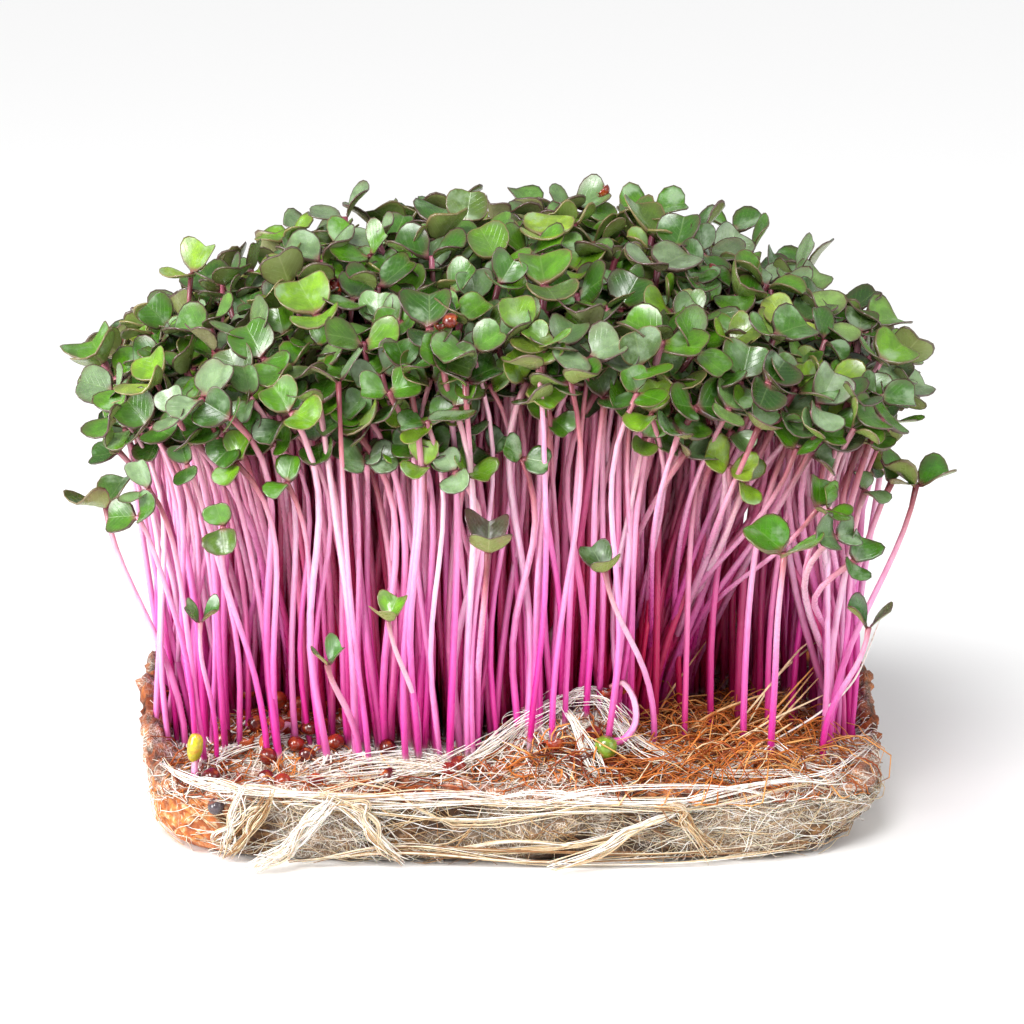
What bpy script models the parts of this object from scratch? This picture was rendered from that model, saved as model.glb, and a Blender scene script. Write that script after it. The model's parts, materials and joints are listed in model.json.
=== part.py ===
"""Red cabbage microgreens on their own growing mat, as lifted out of the tray.

Frame: metres, +Z up, the front is -Y. The origin is the centre of the flat underside.
The mat is coir in the shape of the tray that it grew in: a slab with walls that stand up at the
left, back and right. A skin of matted roots wraps the underside and the sides, with thick root
strands on it at the front. The seedlings stand in the mat in tufts, up to three to a tuft, whose
roots are tangled into one plug. A few late seedlings stand alone along the edges.
"""

import math
import random

import bmesh
import bpy
from mathutils import Matrix, Vector

MM = 0.001

# The mat and its root skin
WALL_HALF = (50.6 * MM, 35.2 * MM)  # half width and half depth of the outer wall, carried down to the base
WALL_DRAFT = 0.19  # how far the wall leans out for each unit of height
CORNER_POWER = 4.8  # of the superellipse that is the mat's outline
BASE_ROUND = 3.4 * MM  # radius between the underside and the wall
SKIN_THICK = 1.5 * MM
SKIN_TOP = 7.6 * MM  # mean height of the root skin's edge at the sides and back
SKIN_FRONT_RISE = 1.5 * MM  # how much higher it is at the front
SKIN_WAVE = 0.7 * MM
GAP = 0.32 * MM  # kept between pieces that touch
AROUND = 36  # facets round the mat
SOIL_TOP = 11.0 * MM  # the planted surface, at its front edge
SOIL_RISE = 2.4 * MM  # how much higher it lies behind the front edge
FRONT_RIM = 11.2 * MM  # the edge of the mat where its front wall has come away
BACK_RIM = 25.0 * MM  # at the right of the back
LEFT_RISE = 9.5 * MM  # of the left wall over the front rim, and so on
RIGHT_RISE = 5.0 * MM
BACK_LOW = 3.0 * MM
RIM_THICK = 2.6 * MM
HUMP_AT = (10.5 * MM, -25.0 * MM)  # the clump of coir that stands up at the front
HUMP_HALF = (11.0 * MM, 7.5 * MM)
HUMP_HEIGHT = 6.6 * MM

# The stand of seedlings
SEED = 44
CANOPY_STEP = 10.0 * MM  # between neighbours, at the leaves
CANOPY_HALF = (56.0 * MM, 43.0 * MM)
CANOPY_POWER = 3.4
BASE_SHARE = (0.84, 0.72)  # the feet's distance from the middle over the tops', across and in depth
FEET_BACK = 3.0 * MM  # how far the feet stand back, which leaves the front of the coir bare
CANOPY_TOP = 82.0 * MM
CANOPY_FALL = (19.0 * MM, 14.0 * MM)  # how much lower the leaves are at the sides, and at the front and back
LAYER_STEP = 5.2 * MM  # neighbours' leaves lie in three layers, so that they clear each other
LAYER_DRAW = 0.7 * MM  # how far each one strays from its layer
FOOT_DRAW = 0.5 * MM
LEAF_TILTS = (8, 28)  # degrees up from the layer
LEAF_FOLDS = (8, 20)  # degrees up on each side of the leaf's middle line
STEM_RADIUS = 0.66 * MM
STEM_SIDES = 3
STEM_STATIONS = 5
LEAF_REACH = (6.9 * MM, 7.9 * MM)  # from the stem to the leaf's tip
LEAF_WIDTH = 0.93  # of the reach
LEAF_THICK = 0.82 * MM
PETIOLE_HALF = 0.55 * MM
PLUG_MARGIN = 1.9 * MM  # of root plug round each stem's foot
PLUG_CORNERS = 3
PLUG_DEEP = 2.8 * MM
PLUG_PROUD = 0.5 * MM

# Each late seedling: its foot's x and y, its top's x, y and z, and its leaf's reach, in millimetres
LATE_SEEDLINGS = [
    ("late_seedling_1", -41.5, -25.0, -42.5, -38.0, 36.0, 4.2),
    ("late_seedling_2", -21.0, -26.2, -25.0, -36.5, 29.5, 4.2),
    ("late_seedling_3", -12.6, -26.2, -16.4, -39.5, 36.5, 4.6),
    ("late_seedling_4", -4.2, -26.2, -2.6, -43.0, 47.0, 6.2),
    ("late_seedling_5", 21.0, -26.2, 13.5, -42.0, 44.0, 4.8),
    ("late_seedling_6", 37.6, -25.8, 38.2, -41.0, 46.5, 7.6),
    ("late_seedling_7", 45.4, -21.5, 51.0, -29.0, 33.0, 5.4),
    ("late_seedling_8", 46.6, -16.0, 58.6, -16.5, 51.0, 7.4),
    ("late_seedling_9", -46.6, -16.0, -57.5, -16.5, 48.0, 7.0),
    ("late_seedling_10", -12.6, 29.8, -14.5, 42.8, 60.0, 7.0),
    ("late_seedling_11", 21.0, 29.8, 23.0, 42.6, 57.0, 6.8),
]

# Swollen seeds and empty seed coats that lie on the coir between the tufts, most of them at the front left
SEED_COUNT = 14
SEED_RADIUS = 1.25 * MM
SEED_CLEAR = 3.7 * MM  # from a stem's foot
SEED_CLEAR_TUFT = 5.6 * MM  # from a tuft's middle

# Root strands on the front of the skin: points of x, height and stand-off from the wall, and the half width
STRANDS = {
    "edge_rope": ([(-47, 6.4, .2), (-39, 7.6, .4), (-24, 7.4, .5), (-8, 7.1, .6), (10, 7.2, .6), (26, 7.4, .5),
                   (39, 7.6, .4), (47, 6.4, .2)], 1.25, .75),
    "left_leg": ([(-21, 6.6, .6), (-24, 4.8, 2.0), (-28, 2.8, 4.6), (-32, 1.5, 7.6)], 2.0, .9),
    "right_leg": ([(-21, 6.6, .6), (-17.5, 5.6, 1.6), (-14.5, 3.2, 1.8), (-14, 1.4, 1.0)], 2.0, .9),
    "left_hank": ([(-35, 7.0, .2), (-36.5, 4.6, .5), (-38.5, 2.4, .4), (-40, 1.1, .2)], 1.7, .9),
    "middle_strand": ([(26, 5.6, .6), (20, 4.4, 1.6), (12, 2.6, 3.6), (6, 1.2, 5.6)], 1.1, .8),
    "right_hank": ([(24, 6.6, .3), (27, 4.8, .7), (30, 2.6, .6), (34, 1.2, .2)], 1.5, .9),
    "under_strand": ([(-12, 1.5, .3), (0, 2.8, .7), (10, 4.4, .7), (20, 5.8, .3)], 1.0, .7),
}
STRAND_SIDES = 6


def material(name, colour, roughness):
    """A plain Principled material."""
    made = bpy.data.materials.new(name)
    made.use_nodes = True
    shader = made.node_tree.nodes["Principled BSDF"]
    shader.inputs["Base Color"].default_value = (*colour, 1.0)
    shader.inputs["Roughness"].default_value = roughness
    return made


def object_from(bm, name, look=None):
    """A linked object that holds this bmesh."""
    mesh = bpy.data.meshes.new(name)
    bmesh.ops.recalc_face_normals(bm, faces=bm.faces)
    bm.to_mesh(mesh)
    bm.free()
    made = bpy.data.objects.new(name, mesh)
    bpy.context.scene.collection.objects.link(made)
    if look:
        mesh.materials.append(look)
    return made


def apply_modifiers(target):
    """The object's mesh as its modifiers leave it, with no modifiers."""
    evaluated = target.evaluated_get(bpy.context.evaluated_depsgraph_get())
    mesh = bpy.data.meshes.new_from_object(evaluated)
    target.modifiers.clear()
    target.data = mesh


def boolean_with(target, others, operation, solver="EXACT"):
    """Joins the other objects to the target, or cuts them from it, and removes them."""
    collection = bpy.data.collections.new("repeats")
    bpy.context.scene.collection.children.link(collection)
    for other in others:
        bpy.context.scene.collection.objects.unlink(other)
        collection.objects.link(other)
    modifier = target.modifiers.new(operation, "BOOLEAN")
    modifier.operand_type = "COLLECTION"
    modifier.collection = collection
    modifier.operation = operation
    modifier.solver = solver
    bpy.context.view_layer.update()
    apply_modifiers(target)
    for other in others:
        bpy.data.objects.remove(other)
    bpy.data.collections.remove(collection)


def smooth_step(low, high, value):
    """0 below low, 1 above high, and a smooth rise between them."""
    share = min(1.0, max(0.0, (value - low) / (high - low)))
    return share * share * (3 - 2 * share)


def outline(turn, half_x, half_y, power=CORNER_POWER):
    """The point of a superellipse at this turn, in radians."""
    c, s = math.cos(turn), math.sin(turn)
    x = half_x * math.copysign(abs(c) ** (2 / power), c)
    y = half_y * math.copysign(abs(s) ** (2 / power), s)
    return x, y


def wall_point(turn, height, inset=0.0):
    """A point of the mat's outer wall, which leans out and is rounded under, moved in by inset."""
    under = max(0.0, BASE_ROUND - height)
    tuck = BASE_ROUND - math.sqrt(max(0.0, BASE_ROUND ** 2 - under ** 2))
    grow = WALL_DRAFT * height - tuck - inset
    return outline(turn, WALL_HALF[0] + grow, WALL_HALF[1] + grow)


def skin_edge(turn):
    """The height of the root skin's upper edge."""
    front = smooth_step(0.2, 0.9, -math.sin(turn))
    return SKIN_TOP + SKIN_FRONT_RISE * front + SKIN_WAVE * math.sin(5 * turn) * (1 - front)


def rim_height(turn):
    """The height of the coir round the mat: walls at the left, back and right, highest at the right of the back."""
    x, y = outline(turn, 1.0, 1.0)
    left = LEFT_RISE * smooth_step(-0.85, -0.10, y) * (1 - 0.70 * smooth_step(0.05, 0.95, y)) * smooth_step(0.1, -0.4, x)
    right = RIGHT_RISE * smooth_step(-0.60, 0.50, y) * smooth_step(0.3, 0.8, x)
    back = (BACK_RIM - FRONT_RIM) * smooth_step(-0.45, 0.50, x) * smooth_step(0.70, 0.96, y)
    behind = smooth_step(-0.6, 0.7, y)
    ragged = 0.9 * MM * math.sin(7 * turn + 1) + 0.6 * MM * math.sin(13 * turn)
    return FRONT_RIM + max(left, right, back, BACK_LOW * behind) + ragged * behind


def soil_height(x, y):
    """The height of the planted surface."""
    hump = math.exp(-((x - HUMP_AT[0]) / HUMP_HALF[0]) ** 2 - ((y - HUMP_AT[1]) / HUMP_HALF[1]) ** 2)
    rolling = 0.5 * MM * math.sin(x / (9 * MM)) * math.cos(y / (11 * MM))
    inner = smooth_step(-35 * MM, -22 * MM, y) * smooth_step(1.0, 0.7, abs(x) / WALL_HALF[0])
    return SOIL_TOP + SOIL_RISE * inner + HUMP_HEIGHT * hump + rolling


def lofted(name, rings, look):
    """A closed solid through rings of points, each a function of the turn. The first and last are single points."""
    bm = bmesh.new()
    bmesh.ops.create_uvsphere(bm, u_segments=AROUND, v_segments=len(rings) - 1, radius=1.0)
    bm.verts.ensure_lookup_table()
    for vert in bm.verts:
        polar = math.acos(max(-1.0, min(1.0, vert.co.z)))
        ring = round(polar / math.pi * (len(rings) - 1))
        turn = math.atan2(vert.co.y, vert.co.x)
        vert.co = rings[ring](turn)
    return object_from(bm, name, look)


def coir_ring_on_top(share):
    """A ring of the planted surface, at this share of the way to the foot of the wall."""
    def ring(turn):
        x, y = wall_point(turn, SOIL_TOP, 4.6 * MM)
        x, y = x * share, y * share
        return Vector((x, y, soil_height(x, y)))
    return ring


def coir_wall_ring(turn, inset, height):
    """A point of the coir's wall."""
    return Vector((*wall_point(turn, height, inset), height))


def build_coir_mat(look):
    """The coir slab with its walls, closed over the top and under the base."""
    floor = SKIN_THICK + GAP

    def rim_inner(turn):
        return coir_wall_ring(turn, RIM_THICK, max(rim_height(turn) - 0.4 * MM, FRONT_RIM))

    def rim_outer(turn):
        return coir_wall_ring(turn, 0.3 * MM, rim_height(turn) - 0.9 * MM)

    def ledge_out(turn):
        return coir_wall_ring(turn, 0.0, skin_edge(turn) + GAP)

    def ledge_in(turn):
        return coir_wall_ring(turn, SKIN_THICK + GAP, skin_edge(turn) + GAP)

    def side(height):
        return lambda turn: coir_wall_ring(turn, SKIN_THICK + GAP, height)

    def under(share):
        def ring(turn):
            x, y = wall_point(turn, floor, SKIN_THICK + GAP + 1.4 * MM)
            return Vector((x * share, y * share, floor))
        return ring

    rings = [coir_ring_on_top(share) for share in (0.0, 0.4, 0.7, 0.9, 1.0)]
    rings += [rim_inner, rim_outer, ledge_out, ledge_in, side(4.6 * MM), side(2.6 * MM)]
    rings += [under(1.0), under(0.0)]
    return lofted("coir_mat", rings, look)


def build_root_skin(look):
    """The shell of matted roots under and round the coir."""
    def outer(height):
        return lambda turn: Vector((*wall_point(turn, height), height))

    def inner(height):
        return lambda turn: Vector((*wall_point(turn, height, SKIN_THICK), height))

    def flat(share, height, inset):
        def ring(turn):
            x, y = wall_point(turn, height, inset)
            return Vector((x * share, y * share, height))
        return ring

    rings = [
        flat(0.0, SKIN_THICK, SKIN_THICK + 1.4 * MM), flat(1.0, SKIN_THICK, SKIN_THICK + 1.1 * MM),
        inner(2.4 * MM), inner(4.6 * MM),
        lambda turn: Vector((*wall_point(turn, skin_edge(turn), SKIN_THICK), skin_edge(turn))),
        lambda turn: Vector((*wall_point(turn, skin_edge(turn)), skin_edge(turn))),
        outer(4.6 * MM), outer(1.3 * MM), flat(1.0, 0.0, 0.0), flat(0.0, 0.0, 0.0),
    ]
    skin = lofted("root_skin", rings, look)
    strands = [build_strand(*STRANDS[name]) for name in STRANDS]
    boolean_with(skin, strands, "UNION")
    return skin


def front_wall(x, height, stand_off):
    """A point in front of the wall at this x and height."""
    half_x = WALL_HALF[0] + WALL_DRAFT * height
    half_y = WALL_HALF[1] + WALL_DRAFT * height
    y = -half_y * (1 - min(0.999, abs(x / half_x)) ** CORNER_POWER) ** (1 / CORNER_POWER)
    return Vector((x, y - stand_off, height))


def tube_along(points, across, sides):
    """A bmesh tube through the points, its section an ellipse with these half axes at each point, closed at both ends."""
    bm = bmesh.new()
    bmesh.ops.create_circle(bm, segments=sides, radius=1.0, cap_ends=True)
    bm.faces.ensure_lookup_table()
    face = bm.faces[0]
    shape = [vert.co.copy() for vert in face.verts]
    for index, point in enumerate(points):
        if index:
            below = face
            grown = bmesh.ops.extrude_face_region(bm, geom=[below])
            face = next(g for g in grown["geom"] if isinstance(g, bmesh.types.BMFace))
            if index > 1:
                bm.faces.remove(below)
        ahead = points[min(index + 1, len(points) - 1)] - points[max(index - 1, 0)]
        along = ahead.normalized()
        side = along.cross(Vector((0, 1, 0))).normalized()
        out = side.cross(along)
        wide, thick = across[index]
        for vert, flat in zip(face.verts, shape):
            vert.co = point + side * (flat.x * wide) + out * (flat.y * thick)
    return bm


def build_strand(points, half_width, half_thick):
    """One thick root strand, along points on the front wall."""
    route = [front_wall(x * MM, height * MM, off * MM) for x, height, off in points]
    last = len(route) - 1
    across = []
    for index in range(len(route)):
        taper = 0.75 if index in (0, last) else 1.0
        thick = half_thick * taper * MM
        across.append((half_width * taper * MM, min(thick, route[index].z - 0.15 * MM)))
    return object_from(tube_along(route, across, STRAND_SIDES), "strand")


def dome(x, y):
    """The mean height of the leaves, and the direction that is square to their layer."""
    fall_x, fall_y = CANOPY_FALL
    height = CANOPY_TOP - fall_x * (x / CANOPY_HALF[0]) ** 2 - fall_y * (y / CANOPY_HALF[1]) ** 2
    slope_x = -2 * fall_x * x / CANOPY_HALF[0] ** 2
    slope_y = -2 * fall_y * y / CANOPY_HALF[1] ** 2
    return height, Vector((-slope_x, -slope_y, 1.0)).normalized()


def seedling_plan():
    """The seedlings of the stand, from a triangular grid: {tuft: [seedling, ...]}."""
    draw = random.Random(SEED)
    tufts = {}
    reach_x = int(CANOPY_HALF[0] / CANOPY_STEP) + 6
    reach_y = int(CANOPY_HALF[1] / (CANOPY_STEP * 0.866)) + 2
    for row in range(-reach_y, reach_y + 1):
        for column in range(-reach_x, reach_x + 1):
            x = CANOPY_STEP * (column + row / 2)
            y = CANOPY_STEP * math.sqrt(3) / 2 * row
            inside = abs(x / CANOPY_HALF[0]) ** CANOPY_POWER + abs(y / CANOPY_HALF[1]) ** CANOPY_POWER
            if inside > 1:
                continue
            layer = (column - row) % 3
            corner = [(column, row), (column - 1, row), (column, row - 1)][layer]
            height, square = dome(x, y)
            top = Vector((x, y, height)) + square * ((layer - 1) * LAYER_STEP + draw.uniform(-LAYER_DRAW, LAYER_DRAW))
            foot_x = x * BASE_SHARE[0] + draw.uniform(-FOOT_DRAW, FOOT_DRAW)
            foot_y = y * BASE_SHARE[1] + FEET_BACK + draw.uniform(-FOOT_DRAW, FOOT_DRAW)
            reach = draw.uniform(*LEAF_REACH)
            tufts.setdefault(corner, []).append({
                "foot": Vector((foot_x, foot_y, soil_height(foot_x, foot_y))),
                "top": top, "square": square, "reach": reach, "turn": draw.uniform(0, math.pi),
                "tilts": (draw.uniform(*LEAF_TILTS), draw.uniform(*LEAF_TILTS)), "fold": draw.uniform(*LEAF_FOLDS),
            })
    return [tufts[key] for key in sorted(tufts)]


def stem_points(seedling, count):
    """Points up the stem: it leaves the mat upright and ends square to the leaves."""
    foot, top = seedling["foot"], seedling["top"]
    rise = (top - foot).length
    lean = Vector((seedling["square"].x * 0.7, seedling["square"].y * 0.7, seedling["square"].z)).normalized()
    ends = (foot, foot + Vector((0, 0, rise * 0.4)), top - lean * rise * 0.3, top)
    points = []
    for index in range(count):
        t = index / (count - 1)
        weights = ((1 - t) ** 3, 3 * t * (1 - t) ** 2, 3 * t * t * (1 - t), t ** 3)
        points.append(sum((end * weight for end, weight in zip(ends, weights)), Vector()))
    return points


def build_stem(seedling, low):
    """The stem, from this height inside the root plug to the middle of the leaf blade."""
    points = stem_points(seedling, STEM_STATIONS)
    points[0].z = low
    points[-1] = points[-1] - seedling["square"] * LEAF_THICK * 0.5
    across = [(STEM_RADIUS, STEM_RADIUS)] * len(points)
    return object_from(tube_along(points, across, STEM_SIDES), "stem")


def leaf_half(reach, side, tilt, fold):
    """Corners of half a seed leaf, from the stem's middle out to the notch. The half is flat."""
    width = reach * LEAF_WIDTH / 2
    corners = [
        (0, PETIOLE_HALF), (0.30 * reach, PETIOLE_HALF), (0.60 * reach, width),
        (0.95 * reach, width * 0.72), (0.86 * reach, 0),
    ]
    rise, lift = math.tan(math.radians(tilt)), math.tan(math.radians(fold))
    return [Vector((u, v * side, u * rise + v * lift)) for u, v in corners]


def build_leaf_pair(seedling):
    """Both seed leaves in one folded sheet: four flat halves that meet over the stem."""
    bm = bmesh.new()
    middle = bm.verts.new((0, 0, 0))
    hips = {}
    notches = {}
    for end, tilt in zip((1, -1), seedling["tilts"]):
        for side in (1, -1):
            corners = leaf_half(seedling["reach"], side, tilt, seedling["fold"])
            for corner in corners:
                corner.x *= end
            hip = hips.get(side) or bm.verts.new(corners[0])
            notch = notches.get(end) or bm.verts.new(corners[-1])
            hips[side], notches[end] = hip, notch
            rim = [bm.verts.new(corner) for corner in corners[1:-1]]
            bm.faces.new([middle, hip, *rim, notch][:: end * side])
    grown = bmesh.ops.extrude_face_region(bm, geom=bm.faces[:])
    raised = [g for g in grown["geom"] if isinstance(g, bmesh.types.BMVert)]
    bmesh.ops.translate(bm, verts=raised, vec=(0, 0, -LEAF_THICK))
    along = Matrix.Rotation(seedling["turn"], 3, "Z")
    stand = Vector((0, 0, 1)).rotation_difference(seedling["square"]).to_matrix()
    place = Matrix.Translation(seedling["top"]) @ (stand @ along).to_4x4()
    bmesh.ops.transform(bm, matrix=place, verts=bm.verts)
    return object_from(bm, "leaf_pair")


def prism(points, margin, low, high, name):
    """An upright prism round these feet."""
    bm = bmesh.new()
    for point in points:
        for corner in range(PLUG_CORNERS):
            turn = math.pi / 2 + corner * 2 * math.pi / PLUG_CORNERS
            x = point.x + margin * math.cos(turn)
            y = point.y + margin * math.sin(turn)
            bm.verts.new((x, y, low))
            bm.verts.new((x, y, high))
    hull = bmesh.ops.convex_hull(bm, input=bm.verts)
    loose = {g for g in hull["geom_interior"] + hull["geom_unused"] if isinstance(g, bmesh.types.BMVert)}
    bmesh.ops.delete(bm, geom=list(loose), context="VERTS")
    bmesh.ops.dissolve_limit(bm, angle_limit=0.01, verts=bm.verts, edges=bm.edges)
    return object_from(bm, name)


def plug_height(seedlings):
    """The height of the planted surface at a tuft."""
    return sum(s["foot"].z for s in seedlings) / len(seedlings)


def build_tuft(name, seedlings, look):
    """Seedlings whose roots are one tangle: stems, leaves and root plug in one solid."""
    feet = [s["foot"] for s in seedlings]
    level = plug_height(seedlings)
    plug = prism(feet, PLUG_MARGIN, level - PLUG_DEEP, level + PLUG_PROUD, name)
    parts = []
    for seedling in seedlings:
        parts += [build_stem(seedling, level - PLUG_DEEP * 0.6), build_leaf_pair(seedling)]
    boolean_with(plug, parts, "UNION")
    plug.data.materials.clear()
    plug.data.materials.append(look)
    return plug


def late_seedling(row):
    """The plan of one late seedling, whose leaves are small."""
    _, foot_x, foot_y, top_x, top_y, top_z, reach = row
    x, y = foot_x * MM, foot_y * MM
    lean = Vector((top_x * MM - x, top_y * MM - y, top_z * MM)).normalized()
    index = LATE_SEEDLINGS.index(row)
    return {
        "foot": Vector((x, y, soil_height(x, y))), "top": Vector((top_x, top_y, top_z)) * MM,
        "square": lean, "reach": reach * MM, "turn": 0.5 * index, "tilts": (22, 34), "fold": 16,
    }


def seed_places(tufts):
    """Places for the seeds that are clear of every root plug and of each other."""
    draw = random.Random(SEED)
    feet = [s["foot"] for tuft in tufts for s in tuft]
    middles = [sum((s["foot"] for s in tuft), Vector()) / len(tuft) for tuft in tufts if len(tuft) > 1]
    places = []
    while len(places) < SEED_COUNT:
        place = Vector((draw.triangular(-43, 41, -30) * MM, draw.triangular(-33.5, 12, -31) * MM, 0))
        kept = [(feet, SEED_CLEAR), (middles, SEED_CLEAR_TUFT), (places, 2.6 * SEED_RADIUS)]
        if all((place - p).xy.length > clear for points, clear in kept for p in points):
            places.append(place)
    return places


def build_seed(place, mat):
    """A seed that is part sunk in the coir below this place."""
    _, ground, _, _ = mat.ray_cast(place + Vector((0, 0, BACK_RIM)), Vector((0, 0, -1)))
    bm = bmesh.new()
    bmesh.ops.create_icosphere(bm, subdivisions=1, radius=SEED_RADIUS)
    bmesh.ops.translate(bm, verts=bm.verts, vec=ground + Vector((0, 0, SEED_RADIUS * 0.3)))
    return object_from(bm, "seed")


def main():
    for old in list(bpy.data.objects):
        bpy.data.objects.remove(old)
    coir = material("coir", (0.36, 0.15, 0.05), 0.9)
    root = material("root", (0.80, 0.70, 0.54), 0.7)
    leaf = material("seedling_leaf", (0.12, 0.26, 0.05), 0.45)
    stem = material("seedling_stem", (0.72, 0.20, 0.48), 0.45)

    stand = [(f"tuft_{index:02d}", tuft, leaf) for index, tuft in enumerate(seedling_plan(), 1)]
    stand += [(row[0], [late_seedling(row)], stem) for row in LATE_SEEDLINGS]
    mat = build_coir_mat(coir)
    bpy.context.view_layer.update()
    seeds = [build_seed(place, mat) for place in seed_places([tuft for _, tuft, _ in stand])]
    boolean_with(mat, seeds, "UNION")
    build_root_skin(root)

    pockets = []
    for name, seedlings, look in stand:
        build_tuft(name, seedlings, look)
        level = plug_height(seedlings)
        feet = [s["foot"] for s in seedlings]
        pockets.append(prism(feet, PLUG_MARGIN + 0.5 * MM, level - PLUG_DEEP - GAP, level + 9 * MM, "pocket"))
    boolean_with(mat, pockets, "DIFFERENCE")
    mat.data.materials.clear()
    mat.data.materials.append(coir)


main()
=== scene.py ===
# %% [markdown]
# # Red cabbage microgreens on their growing mat
#
# This lesson dresses a plain model of a block of microgreens. The plain model is loaded first, as a fixed
# frame, and every piece below is put where that frame says. Red cabbage sprouts are a good subject, because
# almost everything on them is thin, curved and repeated: stems, seed leaves, roots and coconut fibres.
# So most of the work is to make one good leaf or thread with Blender's operators, and then to place
# hundreds of copies by a rule that looks like growth.

# %% Load the plain model
import json
import math
import random

import bmesh
import bpy
import numpy
from mathutils import Matrix, Vector, noise
from mathutils.bvhtree import BVHTree

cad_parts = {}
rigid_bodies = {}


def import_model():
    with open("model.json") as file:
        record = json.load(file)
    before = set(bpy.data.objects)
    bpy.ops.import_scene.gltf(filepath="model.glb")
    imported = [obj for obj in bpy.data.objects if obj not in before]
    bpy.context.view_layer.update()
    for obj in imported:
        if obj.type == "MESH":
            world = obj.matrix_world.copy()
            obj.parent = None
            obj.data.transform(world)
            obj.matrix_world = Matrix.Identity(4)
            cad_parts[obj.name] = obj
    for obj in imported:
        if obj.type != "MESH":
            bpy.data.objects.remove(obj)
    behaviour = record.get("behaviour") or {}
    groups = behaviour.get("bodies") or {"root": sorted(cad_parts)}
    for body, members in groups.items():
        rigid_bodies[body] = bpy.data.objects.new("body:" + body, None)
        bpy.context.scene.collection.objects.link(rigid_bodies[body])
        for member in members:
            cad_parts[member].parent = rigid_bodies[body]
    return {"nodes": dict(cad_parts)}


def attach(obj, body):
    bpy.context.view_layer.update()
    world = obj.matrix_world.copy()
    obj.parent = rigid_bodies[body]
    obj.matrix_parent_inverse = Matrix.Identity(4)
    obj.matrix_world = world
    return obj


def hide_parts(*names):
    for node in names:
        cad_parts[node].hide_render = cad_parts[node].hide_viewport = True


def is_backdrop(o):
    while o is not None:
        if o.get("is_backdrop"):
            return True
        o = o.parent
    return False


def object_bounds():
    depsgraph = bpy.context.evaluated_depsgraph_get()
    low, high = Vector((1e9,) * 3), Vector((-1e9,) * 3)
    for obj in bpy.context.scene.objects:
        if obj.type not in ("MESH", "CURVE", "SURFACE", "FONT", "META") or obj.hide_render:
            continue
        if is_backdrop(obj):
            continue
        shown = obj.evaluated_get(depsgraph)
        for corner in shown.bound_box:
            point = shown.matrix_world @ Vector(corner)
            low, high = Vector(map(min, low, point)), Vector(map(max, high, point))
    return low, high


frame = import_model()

MM = 0.001
BODY = "root"
solids_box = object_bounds()
nodes = sorted(frame["nodes"])
print("nodes in the frame:", len(nodes))

# %% [markdown]
# ## The sizes that the plain model was made from
#
# The plain model's stems and leaves follow a rule: a triangular grid of seedlings, a dome of leaves and a
# seeded draw for each one. Repeating the rule here gives the same feet, tops and leaf directions, so that
# each fine seedling stands exactly where its plain one stands.

# %% Sizes of the mat
WALL_HALF = (50.6 * MM, 35.2 * MM)  # half width and half depth of the outer wall, carried down to the base
WALL_DRAFT = 0.19
CORNER_POWER = 4.8
BASE_ROUND = 3.4 * MM
SKIN_THICK = 1.5 * MM
SKIN_TOP = 7.6 * MM
SKIN_FRONT_RISE = 1.5 * MM
SKIN_WAVE = 0.7 * MM
SOIL_TOP = 11.0 * MM
SOIL_RISE = 2.4 * MM
FRONT_RIM = 11.2 * MM
BACK_RIM = 25.0 * MM
LEFT_RISE = 9.5 * MM
RIGHT_RISE = 5.0 * MM
BACK_LOW = 3.0 * MM
RIM_THICK = 2.6 * MM
HUMP_AT = (10.5 * MM, -25.0 * MM)
HUMP_HALF = (11.0 * MM, 7.5 * MM)
HUMP_HEIGHT = 6.6 * MM

# %% Sizes of the stand of seedlings
SEED = 44
CANOPY_STEP = 10.0 * MM
CANOPY_HALF = (56.0 * MM, 43.0 * MM)
CANOPY_POWER = 3.4
BASE_SHARE = (0.84, 0.72)
FEET_BACK = 3.0 * MM
CANOPY_TOP = 82.0 * MM
CANOPY_FALL = (19.0 * MM, 14.0 * MM)
LAYER_STEP = 5.2 * MM
ROW_STEP = CANOPY_STEP * math.sqrt(3) / 2
LAYER_DRAW = 0.7 * MM
FOOT_DRAW = 0.5 * MM
LEAF_TILTS = (8, 28)
LEAF_FOLDS = (8, 20)
LEAF_REACH = (6.9 * MM, 7.9 * MM)
LATE_SEEDLINGS = {
    "late_seedling_1": (-41.5, -25.0, -42.5, -38.0, 36.0, 4.2),
    "late_seedling_2": (-21.0, -26.2, -25.0, -36.5, 29.5, 4.2),
    "late_seedling_3": (-12.6, -26.2, -16.4, -39.5, 36.5, 4.6),
    "late_seedling_4": (-4.2, -26.2, -2.6, -43.0, 47.0, 6.2),
    "late_seedling_5": (21.0, -26.2, 13.5, -42.0, 44.0, 4.8),
    "late_seedling_6": (37.6, -25.8, 38.2, -41.0, 46.5, 7.6),
    "late_seedling_7": (45.4, -21.5, 51.0, -29.0, 33.0, 5.4),
    "late_seedling_8": (46.6, -16.0, 58.6, -16.5, 51.0, 7.4),
    "late_seedling_9": (-46.6, -16.0, -57.5, -16.5, 48.0, 7.0),
    "late_seedling_10": (-12.6, 29.8, -14.5, 42.8, 60.0, 7.0),
    "late_seedling_11": (21.0, 29.8, 23.0, 42.6, 57.0, 6.8),
}


# %% The surfaces of the mat, as formulas
def within(value, low=0.0, high=1.0):
    """The value, held between low and high."""
    return min(high, max(low, value))


def smooth_step(low, high, value):
    """0 below low, 1 above high, and a smooth rise between them."""
    share = within((value - low) / (high - low))
    return share * share * (3 - 2 * share)


def outline(turn, half_x, half_y):
    """The point of the mat's rounded oblong outline at this turn."""
    c, s = math.cos(turn), math.sin(turn)
    x = half_x * math.copysign(abs(c) ** (2 / CORNER_POWER), c)
    y = half_y * math.copysign(abs(s) ** (2 / CORNER_POWER), s)
    return x, y


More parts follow.
